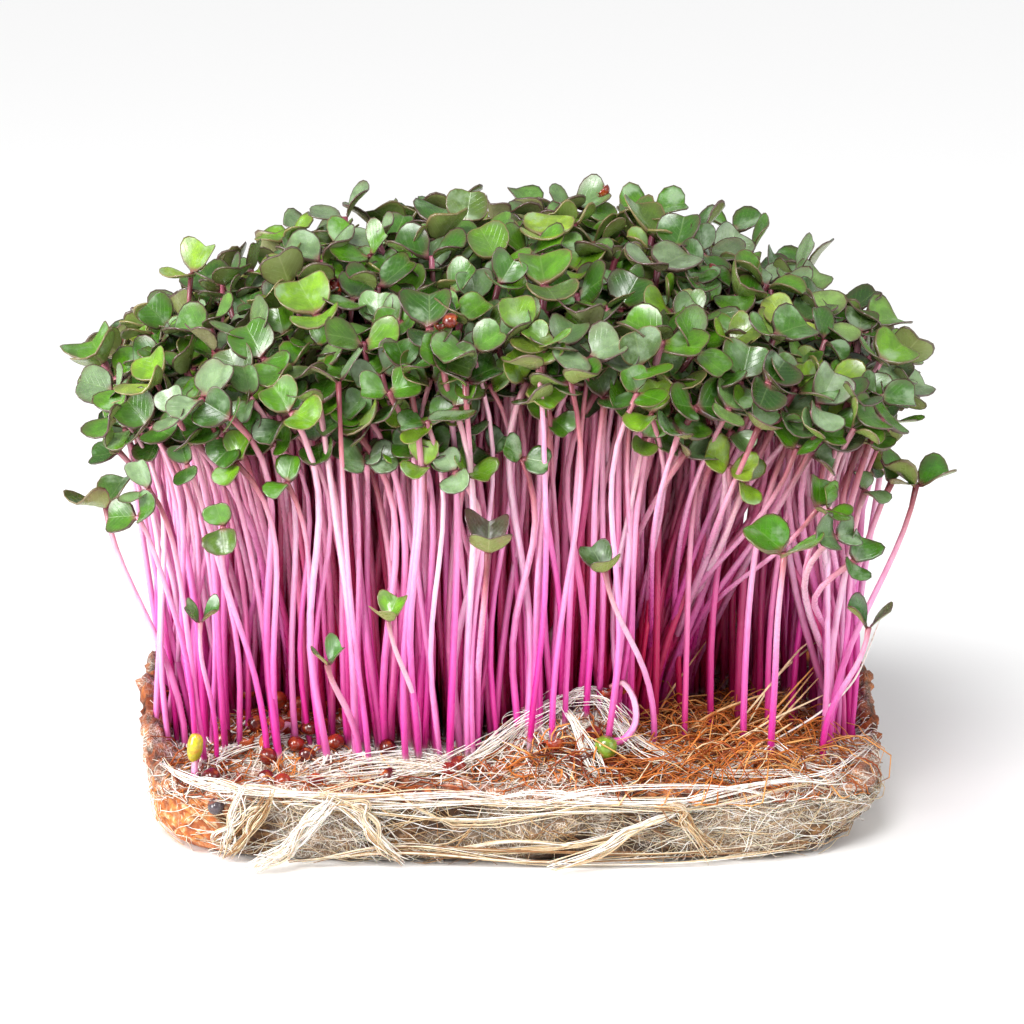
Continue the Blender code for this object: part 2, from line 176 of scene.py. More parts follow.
def wall_growth(height):
    """How far the wall stands out of the base outline at this height: it leans out and is rounded under."""
    under = max(0.0, BASE_ROUND - height)
    tuck = BASE_ROUND - math.sqrt(max(0.0, BASE_ROUND ** 2 - under ** 2))
    return WALL_DRAFT * height - tuck


def wall_point(turn, height, inset=0.0):
    """A point of the outer wall, moved in by inset."""
    grow = wall_growth(height) - inset
    return outline(turn, WALL_HALF[0] + grow, WALL_HALF[1] + grow)


def skin_edge(turn):
    """The height of the root skin's upper edge."""
    front = smooth_step(0.2, 0.9, -math.sin(turn))
    return SKIN_TOP + SKIN_FRONT_RISE * front + SKIN_WAVE * math.sin(5 * turn) * (1 - front)


def rim_height(turn):
    """The height of the coir round the mat: walls at the left, back and right, highest at the right of the back."""
    x, y = outline(turn, 1.0, 1.0)
    left = LEFT_RISE * smooth_step(-0.85, -0.10, y) * (1 - 0.70 * smooth_step(0.05, 0.95, y))
    left *= smooth_step(0.1, -0.4, x)
    right = RIGHT_RISE * smooth_step(-0.60, 0.50, y) * smooth_step(0.3, 0.8, x)
    back = (BACK_RIM - FRONT_RIM) * smooth_step(-0.45, 0.50, x) * smooth_step(0.70, 0.96, y)
    behind = smooth_step(-0.6, 0.7, y)
    ragged = 0.9 * MM * math.sin(7 * turn + 1) + 0.6 * MM * math.sin(13 * turn)
    return FRONT_RIM + max(left, right, back, BACK_LOW * behind) + ragged * behind


def soil_height(x, y):
    """The height of the planted surface."""
    hump = math.exp(-((x - HUMP_AT[0]) / HUMP_HALF[0]) ** 2 - ((y - HUMP_AT[1]) / HUMP_HALF[1]) ** 2)
    rolling = 0.5 * MM * math.sin(x / (9 * MM)) * math.cos(y / (11 * MM))
    inner = smooth_step(-35 * MM, -22 * MM, y) * smooth_step(1.0, 0.7, abs(x) / WALL_HALF[0])
    return SOIL_TOP + SOIL_RISE * inner + HUMP_HEIGHT * hump + rolling


def on_soil(x, y):
    """The point of the planted surface at x and y."""
    return Vector((x, y, soil_height(x, y)))


# %% [markdown]
# ### Walking along the wall by distance
#
# The outline formula rushes through the middle of each side and crawls round the corners. Roots should wander
# at an even pace, so the outline is measured once, and from then on a place on it is a distance from the
# middle of the front, in metres.

# %% Measure the outline
OUTLINE_SAMPLES = 4000


def measure_outline():
    """Turns, and the distance walked at each from the middle of the front."""
    turns = numpy.linspace(-math.pi / 2, 1.5 * math.pi, OUTLINE_SAMPLES)
    places = numpy.array([outline(turn, *WALL_HALF) for turn in turns])
    steps = numpy.linalg.norm(numpy.diff(places, axis=0), axis=1)
    return turns, numpy.concatenate([[0.0], numpy.cumsum(steps)])


OUTLINE_TURNS, OUTLINE_WALKED = measure_outline()
ROUND = OUTLINE_WALKED[-1]
print("distance round the mat, in mm:", round(ROUND / MM, 1))


def turn_at(walked):
    """The turn of the outline at this distance from the middle of the front."""
    return float(numpy.interp(walked % ROUND, OUTLINE_WALKED, OUTLINE_TURNS))


def on_wall(walked, height, stand_off):
    """A point on the outer wall, held off it by stand_off."""
    return Vector((*wall_point(turn_at(walked), max(0.0, height), -stand_off), height))


# %% [markdown]
# ## Copies of small templates
#
# A stand of over a thousand seedlings has more than two thousand leaves and many thousands of fibres. Objects
# would be slow and heavy, so each leaf or thread is a copy of a template that Blender's operators shaped, and
# the copies are gathered into a few large meshes. Each point also carries two tags that the materials read:
# where it lies on its leaf or thread, and the tint of its copy.

# %% Templates and gathering
PLACE = "place"
TINT = "tint"


def template_from(bm):
    """The points and faces of a small bmesh, as arrays that copies share."""
    bm.verts.index_update()
    made = {
        "points": numpy.array([vert.co for vert in bm.verts]),
        "corners": numpy.array([vert.index for face in bm.faces for vert in face.verts]),
        "counts": numpy.array([len(face.verts) for face in bm.faces]),
    }
    bm.free()
    return made


def second_skin(bm):
    """The points of a second skin, grown from all the faces."""
    grown = bmesh.ops.extrude_face_region(bm, geom=bm.faces[:])
    return [made for made in grown["geom"] if isinstance(made, bmesh.types.BMVert)]


def in_scene(name, data):
    """A new object of the scene that holds this data."""
    made = bpy.data.objects.new(name, data)
    bpy.context.scene.collection.objects.link(made)
    return made


def gather(name, copies, look):
    """One object from copies, each a template with its own points, places and tint."""
    mesh = bpy.data.meshes.new(name)
    points = numpy.concatenate([copy["points"] for copy in copies])
    sizes = numpy.array([len(copy["points"]) for copy in copies])
    firsts = numpy.concatenate([[0], numpy.cumsum(sizes)[:-1]])
    corners = numpy.concatenate([copy["form"]["corners"] + first for copy, first in zip(copies, firsts)])
    counts = numpy.concatenate([copy["form"]["counts"] for copy in copies])
    mesh.vertices.add(len(points))
    mesh.vertices.foreach_set("co", points.ravel())
    mesh.loops.add(len(corners))
    mesh.loops.foreach_set("vertex_index", corners)
    mesh.polygons.add(len(counts))
    mesh.polygons.foreach_set("loop_start", numpy.concatenate([[0], numpy.cumsum(counts)[:-1]]))
    mesh.update(calc_edges=True)
    for tag in (PLACE, TINT):
        layer = mesh.attributes.new(tag, "FLOAT_VECTOR", "POINT")
        layer.data.foreach_set("vector", numpy.concatenate([copy[tag] for copy in copies]).ravel())
    mesh.shade_smooth()
    mesh.materials.append(look)
    print(name, "has", len(copies), "copies and", int((counts - 2).sum()), "triangles")
    return in_scene(name, mesh)


def settle(piece, slot, *replaced):
    """The piece rides on the block and stands for the plain nodes that are named, which are hidden. The slot is not
    used.
    """
    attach(piece, BODY)
    if replaced:
        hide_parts(*replaced)


# %% [markdown]
# ## Shader helpers
#
# Each material is a few nodes. A small function that adds a node and fills its sockets, with a value or with
# a link, keeps them short enough to read. Colours are written as they look on a screen, and changed to the
# linear values that Blender works in.

# %% Node helpers
def colour(code):
    """The linear colour, with alpha, of a six-figure screen colour."""
    shares = [int(code[at:at + 2], 16) / 255 for at in (1, 3, 5)]
    return (*[c / 12.92 if c < 0.04045 else ((c + 0.055) / 1.055) ** 2.4 for c in shares], 1.0)


def fill(tree, node, sockets):
    """The node's sockets get values, or links."""
    for name, value in sockets.items():
        if isinstance(value, bpy.types.NodeSocket):
            tree.links.new(value, node.inputs[name])
        else:
            node.inputs[name].default_value = value


def add(tree, kind, sockets=None, **settings):
    """A node of this kind, with its settings, and its sockets filled with values or linked."""
    node = tree.nodes.new(kind)
    for name, value in settings.items():
        setattr(node, name, value)
    fill(tree, node, sockets or {})
    return node


def maths(tree, operation, first, second=0.0, clamp=False):
    """The result of a Math node."""
    return add(tree, "ShaderNodeMath", {0: first, 1: second}, operation=operation, use_clamp=clamp).outputs[0]


def blended(tree, factor, first, second, blend="MIX"):
    """A mix of two colours."""
    node = add(tree, "ShaderNodeMix", {0: factor, 6: first, 7: second}, data_type="RGBA", blend_type=blend)
    return node.outputs[2]


def steps(tree, factor, *stops, interpolation="LINEAR"):
    """A colour ramp, with each stop a place and a screen colour."""
    node = add(tree, "ShaderNodeValToRGB", {0: factor})
    ramp = node.color_ramp
    ramp.interpolation = interpolation
    while len(ramp.elements) < len(stops):
        ramp.elements.new(0.5)
    for element, (place, code) in zip(ramp.elements, stops):
        element.position = place
        element.color = colour(code)
    return node.outputs["Color"]


def rise(tree, value, low, high, to_low=0.0, to_high=1.0):
    """A smooth map of value from one range to another."""
    return add(tree, "ShaderNodeMapRange", {0: value, 1: low, 2: high, 3: to_low, 4: to_high},
               interpolation_type="SMOOTHSTEP").outputs[0]


def tags_of(tree, tag):
    """The three numbers of one of the tags."""
    node = add(tree, "ShaderNodeAttribute", attribute_name=tag)
    return add(tree, "ShaderNodeSeparateXYZ", {0: node.outputs["Vector"]}).outputs[:]


def object_place(tree):
    """Where a point lies, in metres."""
    return add(tree, "ShaderNodeTexCoord").outputs["Object"]


def part_of(tree, place, axis):
    """One of the three numbers of a place."""
    return add(tree, "ShaderNodeSeparateXYZ", {0: place}).outputs[axis]


def grains(tree, place, scale, detail, roughness=0.5):
    """Soft noise at one scale, with a half as its mean."""
    sockets = {"Vector": place, "Scale": scale, "Detail": detail, "Roughness": roughness}
    return add(tree, "ShaderNodeTexNoise", sockets).outputs["Fac"]


def new_material(name):
    """A material with only its output and its Principled shader."""
    made = bpy.data.materials.new(name)
    made.use_nodes = True
    return made, made.node_tree, made.node_tree.nodes["Principled BSDF"]


# %% [markdown]
# Fibre, leaf and stem all have a fine uneven skin: lighter and darker cells at one scale, and a slight relief
# that goes with them. That is one effect with different values, so it is a node group.

# %% The uneven skin, as a node group
def make_skin_group():
    """Mottling of a colour, and the relief that goes with it."""
    group = bpy.data.node_groups.new("uneven skin", "ShaderNodeTree")
    face = group.interface
    for name, side, kind in (
            ("Colour", "INPUT", "Color"), ("Dark", "INPUT", "Color"), ("Scale", "INPUT", "Float"),
            ("Amount", "INPUT", "Float"), ("Colour", "OUTPUT", "Color"), ("Relief", "OUTPUT", "Float")):
        face.new_socket(name, in_out=side, socket_type="NodeSocket" + kind)
    inside = group.nodes.new("NodeGroupInput").outputs
    place = object_place(group)
    cells = grains(group, place, inside["Scale"], 4.0, 0.62)
    share = maths(group, "MULTIPLY", rise(group, cells, 0.32, 0.68), inside["Amount"], clamp=True)
    shade = blended(group, share, inside["Colour"], inside["Dark"])
    outside = group.nodes.new("NodeGroupOutput")
    group.links.new(shade, outside.inputs["Colour"])
    group.links.new(cells, outside.inputs["Relief"])
    return group


skin_group = make_skin_group()


def uneven(tree, base, dark, scale, amount):
    """The group in a material: the mottled colour and its relief."""
    sockets = {"Colour": base, "Dark": dark, "Scale": scale, "Amount": amount}
    node = add(tree, "ShaderNodeGroup", sockets, node_tree=skin_group)
    return node.outputs["Colour"], node.outputs["Relief"]


def relief(tree, shader, height, distance, strength=1.0):
    """Bump from a height, in metres of distance."""
    bump = add(tree, "ShaderNodeBump", {"Height": height, "Distance": distance, "Strength": strength})
    tree.links.new(bump.outputs[0], shader.inputs["Normal"])


# %% [markdown]
# ## The seed leaves
#
# A red cabbage sprout has two seed leaves, each kidney shaped with a notch at its tip and a short stalk. They
# could be flat cards with a picture, but here the shape itself is made: a circle with its rings inset is
# pushed into the leaf's outline, cupped and curled, and extruded down to a thin blade. Nine such leaves with
# different notches and curls are enough, because each copy is also tilted, folded and tinted its own way. A
# coarser set serves deep inside the stand and at its back.

# %% One leaf
LEAF_FINE = (18, (0.05, 0.42))  # sides, and insets from the rim to the first ring and from there to the next
LEAF_COARSE = (14, (0.16,))
LEAF_MIDDLE = 0.53  # of the reach, from the stem
LEAF_HALF = 0.56  # its half width
LEAF_KINDS = 9
STALK = ((0.93, 0.04, 0.075), (0.86, 0.12, 0.120))  # past this share of a half turn: how far out, and half width
BLADE_THICK = 0.050
STALK_THICK = 0.11
CREASE_ROUND = 0.16  # how softly a leaf folds along its middle


def leaf_rim(turn, notch, lop):
    """The outline of a leaf of unit reach: its stalk is at the origin and its notch points along +X."""
    c, s = math.cos(turn), math.sin(turn)
    for past, out, half in STALK:
        if abs(turn) / math.pi > past:
            return out, math.copysign(half, s)
    ahead = (0.45 + lop * s * 0.3) * abs(c) ** 0.9 if c > 0 else -0.43 * abs(c) ** 0.7
    u = LEAF_MIDDLE + ahead - notch * math.exp(-(turn / 0.36) ** 2)
    return u, LEAF_HALF * math.copysign(abs(s) ** 0.92, s) * (1 + 0.05 * c) * (1 + lop * s)


def leaf_template(draw, sides, insets):
    """A closed thin leaf: x runs to its tip, y across and z up."""
    notch, lop = draw.uniform(0.02, 0.12), draw.uniform(-0.10, 0.10)
    cup, curl = draw.uniform(0.02, 0.30), draw.uniform(-0.25, 0.35)
    wave, phase = draw.uniform(0.0, 0.035), draw.uniform(0, 2 * math.pi)
    bm = bmesh.new()
    bmesh.ops.create_circle(bm, segments=sides, radius=1.0, cap_ends=True,
                            matrix=Matrix.Rotation(math.pi / sides, 4, "Z"))
    bm.faces.ensure_lookup_table()
    face = bm.faces[0]
    for thickness in insets:
        bmesh.ops.inset_region(bm, faces=[face], thickness=thickness, use_boundary=True, use_even_offset=True)
    bmesh.ops.poke(bm, faces=[face])
    mark = bm.verts.layers.float.new("mark")
    under = bm.verts.layers.float.new("under")
    for vert in bm.verts:
        turn, radius = math.atan2(vert.co.y, vert.co.x), min(1.0, vert.co.xy.length)
        vert[mark] = radius
        rim_u, rim_v = leaf_rim(turn, notch, lop)
        u = LEAF_MIDDLE + (rim_u - LEAF_MIDDLE) * radius
        v = rim_v * radius
        w = cup * (v / LEAF_HALF) ** 2 - curl * max(0.0, u - 0.25) ** 2
        w += wave * math.sin(3 * turn + phase) * radius ** 2
        vert.co = (u, v, w)
    for vert in second_skin(bm):
        stalk = 1 - smooth_step(0.10, 0.36, vert.co.x)
        vert.co.z -= BLADE_THICK + (STALK_THICK - BLADE_THICK) * stalk
        vert[under] = 1.0
    bmesh.ops.recalc_face_normals(bm, faces=bm.faces)
    places = numpy.array([(vert.co.x, vert.co.y, vert[mark]) for vert in bm.verts])
    unders = numpy.array([vert[under] for vert in bm.verts])
    return {**template_from(bm), "places": places, "under": unders}


leaf_draw = random.Random(11)
fine_leaves = [leaf_template(leaf_draw, *LEAF_FINE) for _ in range(LEAF_KINDS)]
coarse_leaves = [leaf_template(leaf_draw, *LEAF_COARSE) for _ in range(LEAF_KINDS)]
print("points of a fine and of a coarse leaf:", len(fine_leaves[0]["points"]), len(coarse_leaves[0]["points"]))


def leaf_copy(form, middle, axes, reach, tilt, fold, tone, bronze):
    """A leaf of the template's form, from the stem's top along the first of the axes."""
    points = form["points"].copy()
    points[:, 2] += points[:, 0] * math.tan(math.radians(tilt))
    creased = numpy.hypot(form["points"][:, 1], CREASE_ROUND) - CREASE_ROUND
    points[:, 2] += creased * math.tan(math.radians(fold))
    length = math.cos(math.radians(tilt))
    points[:, 0] *= length
    points[:, 2] *= length
    points = points * reach @ numpy.array(axes).T + numpy.array(middle)
    tint = numpy.full_like(points, tone)
    tint[:, 1] = bronze
    tint[:, 2] = form["under"]
    return {"form": form, "points": points, PLACE: form["places"], TINT: tint}


# %% [markdown]
# The leaf's colour is layered: a green that differs from leaf to leaf, a greyer cast on some, pale clouds of
# painted sheen, lighter veins that leave the middle line in chevrons, a dull red blush towards a thin purple-brown
# rim, a pink stalk, and a pale underside. The veins come from the place tag: the distance from the middle line,
# and a saw wave of the place along it.

# %% The seed leaf's material
def make_leaf_look(name, greens):
    """Glossy green with a thin purple-brown rim, pale under."""
    look, tree, shader = new_material(name)
    along, across, rim = tags_of(tree, PLACE)
    tone, bronze, under = tags_of(tree, TINT)
    shift = maths(tree, "FRACT", maths(tree, "MULTIPLY", tone, 17.0))
    off_middle = maths(tree, "ABSOLUTE", across)
    middle_vein = rise(tree, off_middle, 0.030, 0.004)
    slant = maths(tree, "SUBTRACT", along, maths(tree, "MULTIPLY", off_middle, 0.8))
    saw = maths(tree, "FRACT", maths(tree, "MULTIPLY", slant, 6.5))
    off_vein = maths(tree, "ABSOLUTE", maths(tree, "SUBTRACT", saw, 0.5))
    side_vein = maths(tree, "MULTIPLY", rise(tree, off_vein, 0.10, 0.02), rise(tree, rim, 0.95, 0.70))
    veins = maths(tree, "MAXIMUM", middle_vein, maths(tree, "MULTIPLY", side_vein, 0.55))

    green = steps(tree, tone, *greens)
    green = blended(tree, rise(tree, bronze, 0.30, 0.75), green, colour("#86A074"))
    green = blended(tree, rise(tree, shift, 0.80, 0.95, 0.0, 0.6), green, colour("#3A3A20"))
    green, cells = uneven(tree, green, colour("#1C3A0C"), 520.0, 0.45)
    place = object_place(tree)
    sheen_and_blush_noise = grains(tree, place, 190.0, 4.0, 0.6)
    # painted sheen: pale grey-green clouds where this noise is high; where it is low, the rim gets its real red blush
    green = blended(tree, rise(tree, sheen_and_blush_noise, 0.52, 0.68, 0.0, 0.55), green, colour("#A4BC9A"))
    green = blended(tree, maths(tree, "MULTIPLY", veins, 0.16), green, colour("#A3BF78"))
    pale = blended(tree, maths(tree, "MULTIPLY", veins, 0.5), colour("#8DA052"), colour("#C3C98E"))
    pale = blended(tree, maths(tree, "MULTIPLY", bronze, 0.9), pale, colour("#A08C74"))
    face = blended(tree, maths(tree, "MULTIPLY", under, 0.85), green, pale)
    blush = maths(tree, "MULTIPLY", rise(tree, rim, 0.60, 1.0), rise(tree, sheen_and_blush_noise, 0.56, 0.42))
    face = blended(tree, maths(tree, "MULTIPLY", blush, 0.45), face, colour("#5C3C34"))
    edge = rise(tree, rim, 0.935, 0.975)
    lighter = rise(tree, maths(tree, "SUBTRACT", tone, bronze), 0.2, 0.8)
    rimmed = blended(tree, lighter, colour("#4C2430"), colour("#84704A"))
    face = blended(tree, maths(tree, "MULTIPLY", edge, 0.8), face, rimmed)
    stalk = maths(tree, "MULTIPLY", rise(tree, along, 0.26, 0.06), rise(tree, off_middle, 0.20, 0.04))
    face = blended(tree, maths(tree, "MULTIPLY", stalk, 0.7), face, colour("#8A4A50"))
    height = maths(tree, "SUBTRACT", maths(tree, "MULTIPLY", cells, 0.5), maths(tree, "MULTIPLY", veins, 0.5))
    relief(tree, shader, height, 0.00008, 0.5)
    fill(tree, shader, {
        "Base Color": face, "Roughness": rise(tree, cells, 0.3, 0.7, 0.20, 0.36), "Specular IOR Level": 0.75,
        "Subsurface Weight": 0.10, "Subsurface Scale": 0.0008, "Subsurface Radius": (0.5, 1.0, 0.2)})
    return look


leaf_look = make_leaf_look("seed_leaf", [
    (0.0, "#244A0A"), (0.3, "#3C7010"), (0.6, "#5C9418"), (0.85, "#80AC24"), (1.0, "#A2BE38")])
young_look = make_leaf_look("young_leaf", [
    (0.0, "#4A2A34"), (0.16, "#3A4A20"), (0.3, "#35701A"), (0.55, "#579A22"), (0.8, "#8FBC2E"), (1.0, "#D2CC30")])


# %% [markdown]
# ## Tubes for stems, roots and fibres
#
# Everything else that grows here is a tube along a curve. One straight tube is made with a cone operator and
# cut into rings, and each copy has its rings moved onto its own route. The directions across the route are
# carried from ring to ring without twisting, which keeps the tube from pinching where the route turns.

# %% A straight tube, and its copies along routes
def tube_template(stations, sides):
    """A closed straight tube of unit radius with this many rings."""
    bm = bmesh.new()
    bmesh.ops.create_cone(bm, cap_ends=True, segments=sides, radius1=1.0, radius2=1.0, depth=1.0)
    lengthwise = [edge for edge in bm.edges if abs(edge.verts[0].co.z - edge.verts[1].co.z) > 0.5]
    bmesh.ops.subdivide_edges(bm, edges=lengthwise, cuts=stations - 2, use_grid_fill=True)
    bmesh.ops.recalc_face_normals(bm, faces=bm.faces)
    made = template_from(bm)
    made["station"] = numpy.rint((made["points"][:, 2] + 0.5) * (stations - 1)).astype(int)
    made["stations"] = stations
    return made


def across_route(route):
    """Two directions across the route at each of its points, carried along it without twisting."""
    along = [Vector(step).normalized() for step in numpy.gradient(route, axis=0)]
    spare = Vector((0, 0, 1)) if abs(along[0].z) < 0.8 else Vector((1, 0, 0))
    side = along[0].cross(spare).normalized()
    sides, outs = [], []
    for direction in along:
        side = (side - direction * side.dot(direction)).normalized()
        sides.append(side)
        outs.append(direction.cross(side))
    return numpy.array(sides), numpy.array(outs)


def tube_copy(form, route, radii, tint):
    """A tube of the template's form along the route. Its place tag holds the share along it."""
    route = numpy.array(route)
    sides, outs = across_route(route)
    at = form["station"]
    reach = numpy.asarray(radii)[at, None]
    ring = form["points"]
    points = route[at] + (sides[at] * ring[:, :1] + outs[at] * ring[:, 1:2]) * reach
    places = numpy.zeros_like(points)
    places[:, 0] = at / (form["stations"] - 1)
    places[:, 1:] = ring[:, :2]
    return {"form": form, "points": points, PLACE: places, TINT: numpy.tile(tint, (len(points), 1))}


def tapered(radius, count, blunt=0.35):
    """Radii along a thread that thins towards both ends."""
    shares = numpy.linspace(0, 1, count)
    return radius * (blunt + (1 - blunt) * numpy.sin(math.pi * shares) ** 0.5)


# %% [markdown]
# ## The stand
#
# First come the seedlings of the plain model, from the same rule and the same draws.

# %% The plain model's seedlings
def dome(x, y):
    """The mean height of the leaves, and the direction that is square to their layer."""
    fall_x, fall_y = CANOPY_FALL
    height = CANOPY_TOP - fall_x * (x / CANOPY_HALF[0]) ** 2 - fall_y * (y / CANOPY_HALF[1]) ** 2
    slope_x = -2 * fall_x * x / CANOPY_HALF[0] ** 2
    slope_y = -2 * fall_y * y / CANOPY_HALF[1] ** 2
    return height, Vector((-slope_x, -slope_y, 1.0)).normalized()


def in_canopy(x, y):
    """Below 1 inside the outline of the leaves."""
    return abs(x / CANOPY_HALF[0]) ** CANOPY_POWER + abs(y / CANOPY_HALF[1]) ** CANOPY_POWER


def seedling_plan():
    """The seedlings of the plain model, tuft by tuft."""
    draw = random.Random(SEED)
    tufts = {}
    reach_x = int(CANOPY_HALF[0] / CANOPY_STEP) + 6
    reach_y = int(CANOPY_HALF[1] / ROW_STEP) + 2
    for row in range(-reach_y, reach_y + 1):
        for column in range(-reach_x, reach_x + 1):
            x = CANOPY_STEP * (column + row / 2)
            y = ROW_STEP * row
            if in_canopy(x, y) > 1:
                continue
            layer = (column - row) % 3
            corner = [(column, row), (column - 1, row), (column, row - 1)][layer]
            height, square = dome(x, y)
            top = Vector((x, y, height)) + square * ((layer - 1) * LAYER_STEP + draw.uniform(-LAYER_DRAW, LAYER_DRAW))
            foot_x = x * BASE_SHARE[0] + draw.uniform(-FOOT_DRAW, FOOT_DRAW)
            foot_y = y * BASE_SHARE[1] + FEET_BACK + draw.uniform(-FOOT_DRAW, FOOT_DRAW)
            reach = draw.uniform(*LEAF_REACH)
            tufts.setdefault(corner, []).append({
                "foot": on_soil(foot_x, foot_y), "top": top, "square": square, "reach": reach,
                "turn": draw.uniform(0, math.pi), "tilts": (draw.uniform(*LEAF_TILTS), draw.uniform(*LEAF_TILTS)),
                "fold": draw.uniform(*LEAF_FOLDS),
            })
    return [tufts[key] for key in sorted(tufts)]


def late_seedling(index, row):
    """The plan of one late seedling."""
    foot_x, foot_y, top_x, top_y, top_z, reach = row
    x, y = foot_x * MM, foot_y * MM
    lean = Vector((top_x * MM - x, top_y * MM - y, top_z * MM)).normalized()
    return {"foot": on_soil(x, y), "top": Vector((top_x, top_y, top_z)) * MM,
            "square": lean, "reach": reach * MM, "turn": 0.5 * index, "tilts": (22, 34), "fold": 16}


tufts = {f"tuft_{index:02d}": tuft for index, tuft in enumerate(seedling_plan(), 1)}
late = {name: late_seedling(index, row) for index, (name, row) in enumerate(LATE_SEEDLINGS.items())}
print("tufts:", len(tufts), "late seedlings:", len(late))

# %% [markdown]
# The real block is several times denser than the plain model can be. The rest of the seedlings fill the gaps:
# many places are drawn for each, and the one furthest from the leaves that are there already is kept. Their
# leaves are smaller, tilt more freely, and hang a little below the others. Two places stay open, as in the
# photograph: a bed of seeds at the left and loose coir at the right. Most of the stems that would start there
# start behind or beside them, and lean.

# %% The seedlings between them
FILLERS = 960
FILLER_TRIES = 16
FILLER_REACH = (4.8 * MM, 7.3 * MM)
FILLER_DEPTH = (-13.0 * MM, 5.5 * MM)  # below and above the dome
FRINGE_DEPTH = -3.5 * MM  # below it at the edge of the stand
FILLER_SHARE = (0.87, 0.72)
FILLER_OUT = 0.08  # how much further out than the dome the leaves face
FRINGE = 56
FRINGE_AT_FRONT = 0.66  # the share of them in front
FRINGE_REACH = (4.0, 5.8)  # millimetres
START_LEAN = 0.35  # how far an added stem leans over from its foot
TALL = [  # x, y and height, in millimetres
    (-24, 10, 86), (-20, 14, 84.5), (10, 12, 87), (16, 9, 85), (-46, 0, 79), (-41, -6, 78.5), (28, 6, 84),
    (42, 2, 79), (-33, 14, 82), (36, 12, 80.5), (-44, 18, 76), (-30, 26, 80.5), (-13, 27, 83.5), (4, 28, 84.5),
    (22, 26, 84.5), (34, 24, 82), (45, 16, 77.5), (50, 6, 72.5), (-52, 6, 70.5), (-8, 18, 86)]
SEED_COUNT = 14
SEED_RADIUS = 1.25 * MM
SEED_CLEAR = 3.7 * MM  # from a stem's foot
SEED_CLEAR_TUFT = 5.6 * MM  # from a tuft's middle
MORE_SEEDS = [  # x and y, and how high above the coir, in millimetres
    (-50.0, -8, 1.2), (-38.2, -8, 3.2), (-37.7, -12.6, 0.8), (-34.7, -20.4, 0.7), (-34.3, -5, 1.6), (-30.7, -14.3, 0.7),
    (-30.1, -9.7, 1.4), (-29.2, -5.5, 1.6), (-24.3, -14.8, 0.7), (-17.5, -8, 1.6), (-39, -31, 0.3), (-0.3, -19, 1.6),
    (1.1, -14, 2.2), (7.7, -14, 2.6), (-33, -9, 0.9), (-27, -11.5, 1.2), (-36.2, -16.8, 0.6), (-26.5, -18.2, 0.5),
    (-22, -11, 1.0), (-40.8, -19.5, 0.5), (-31.5, -18.6, 0.5), (-20, -32, 0.2), (-8, -30.5, 0.4), (-42, -30.5, 0.2),
    (5.5, -30.5, 1.2), (-33.4, -13.2, 2.6), (-37.4, -23.4, 1.6), (-34.2, -24.8, 0.9), (-33.2, -23.6, 3.2),
    (-30.2, -24.6, 1.0), (-28.2, -23.2, 2.4), (-24.6, -24.4, 0.9), (-40.6, -25.6, 0.8), (-17.0, -25.4, 1.0)]
OPEN_AT = (33.0 * MM, -12.0 * MM)  # the loose coir at the right, where few seedlings stand
OPEN_HALF = (13.0 * MM, 25.0 * MM)
OPEN_SLANT = 0.22  # how far it runs to the right, for each step back
OPEN_SPLIT = 0.1  # of its half width, right of which feet go to its right side
OPEN_RIGHT = 50.5 * MM
BED_AT = (-31.0 * MM, -13.0 * MM)  # the bed of seeds at the left
BED_HALF = (12.0 * MM, 9.0 * MM)
BED_CLEARED = 0.85  # the share of its stems that are moved


def open_middle(y):
    """The middle of the loose coir, this far back."""
    return OPEN_AT[0] + OPEN_SLANT * (y - OPEN_AT[1])


def clear_foot(x, y, draw):
    """A foot that would stand on the loose coir or on the bed of seeds is set behind it or beside it."""
    beside, back = (x - BED_AT[0]) / BED_HALF[0], (y - BED_AT[1]) / BED_HALF[1]
    if beside ** 2 + back ** 2 < 1 and draw.random() < BED_CLEARED:
        y = BED_AT[1] + BED_HALF[1] * math.sqrt(1 - beside ** 2) + abs(draw.gauss(0, 1.6)) * MM
    if y < OPEN_AT[1] and abs(x - open_middle(y)) < OPEN_HALF[0]:
        y = draw.uniform(-6, 8) * MM
    deep = 1 - ((y - OPEN_AT[1]) / OPEN_HALF[1]) ** 2
    if deep > 0:
        aside, half = x - open_middle(y), OPEN_HALF[0] * math.sqrt(deep)
        if OPEN_SPLIT * half < aside < half:
            x = OPEN_RIGHT - abs(draw.gauss(0, 2)) * MM
        elif abs(aside) < half:
            x = open_middle(y) - half - abs(draw.gauss(0, 2.5)) * MM
    return x, y


def nudge(draw, spread):
    """A small level move."""
    return Vector((draw.gauss(0, spread), draw.gauss(0, spread), 0))


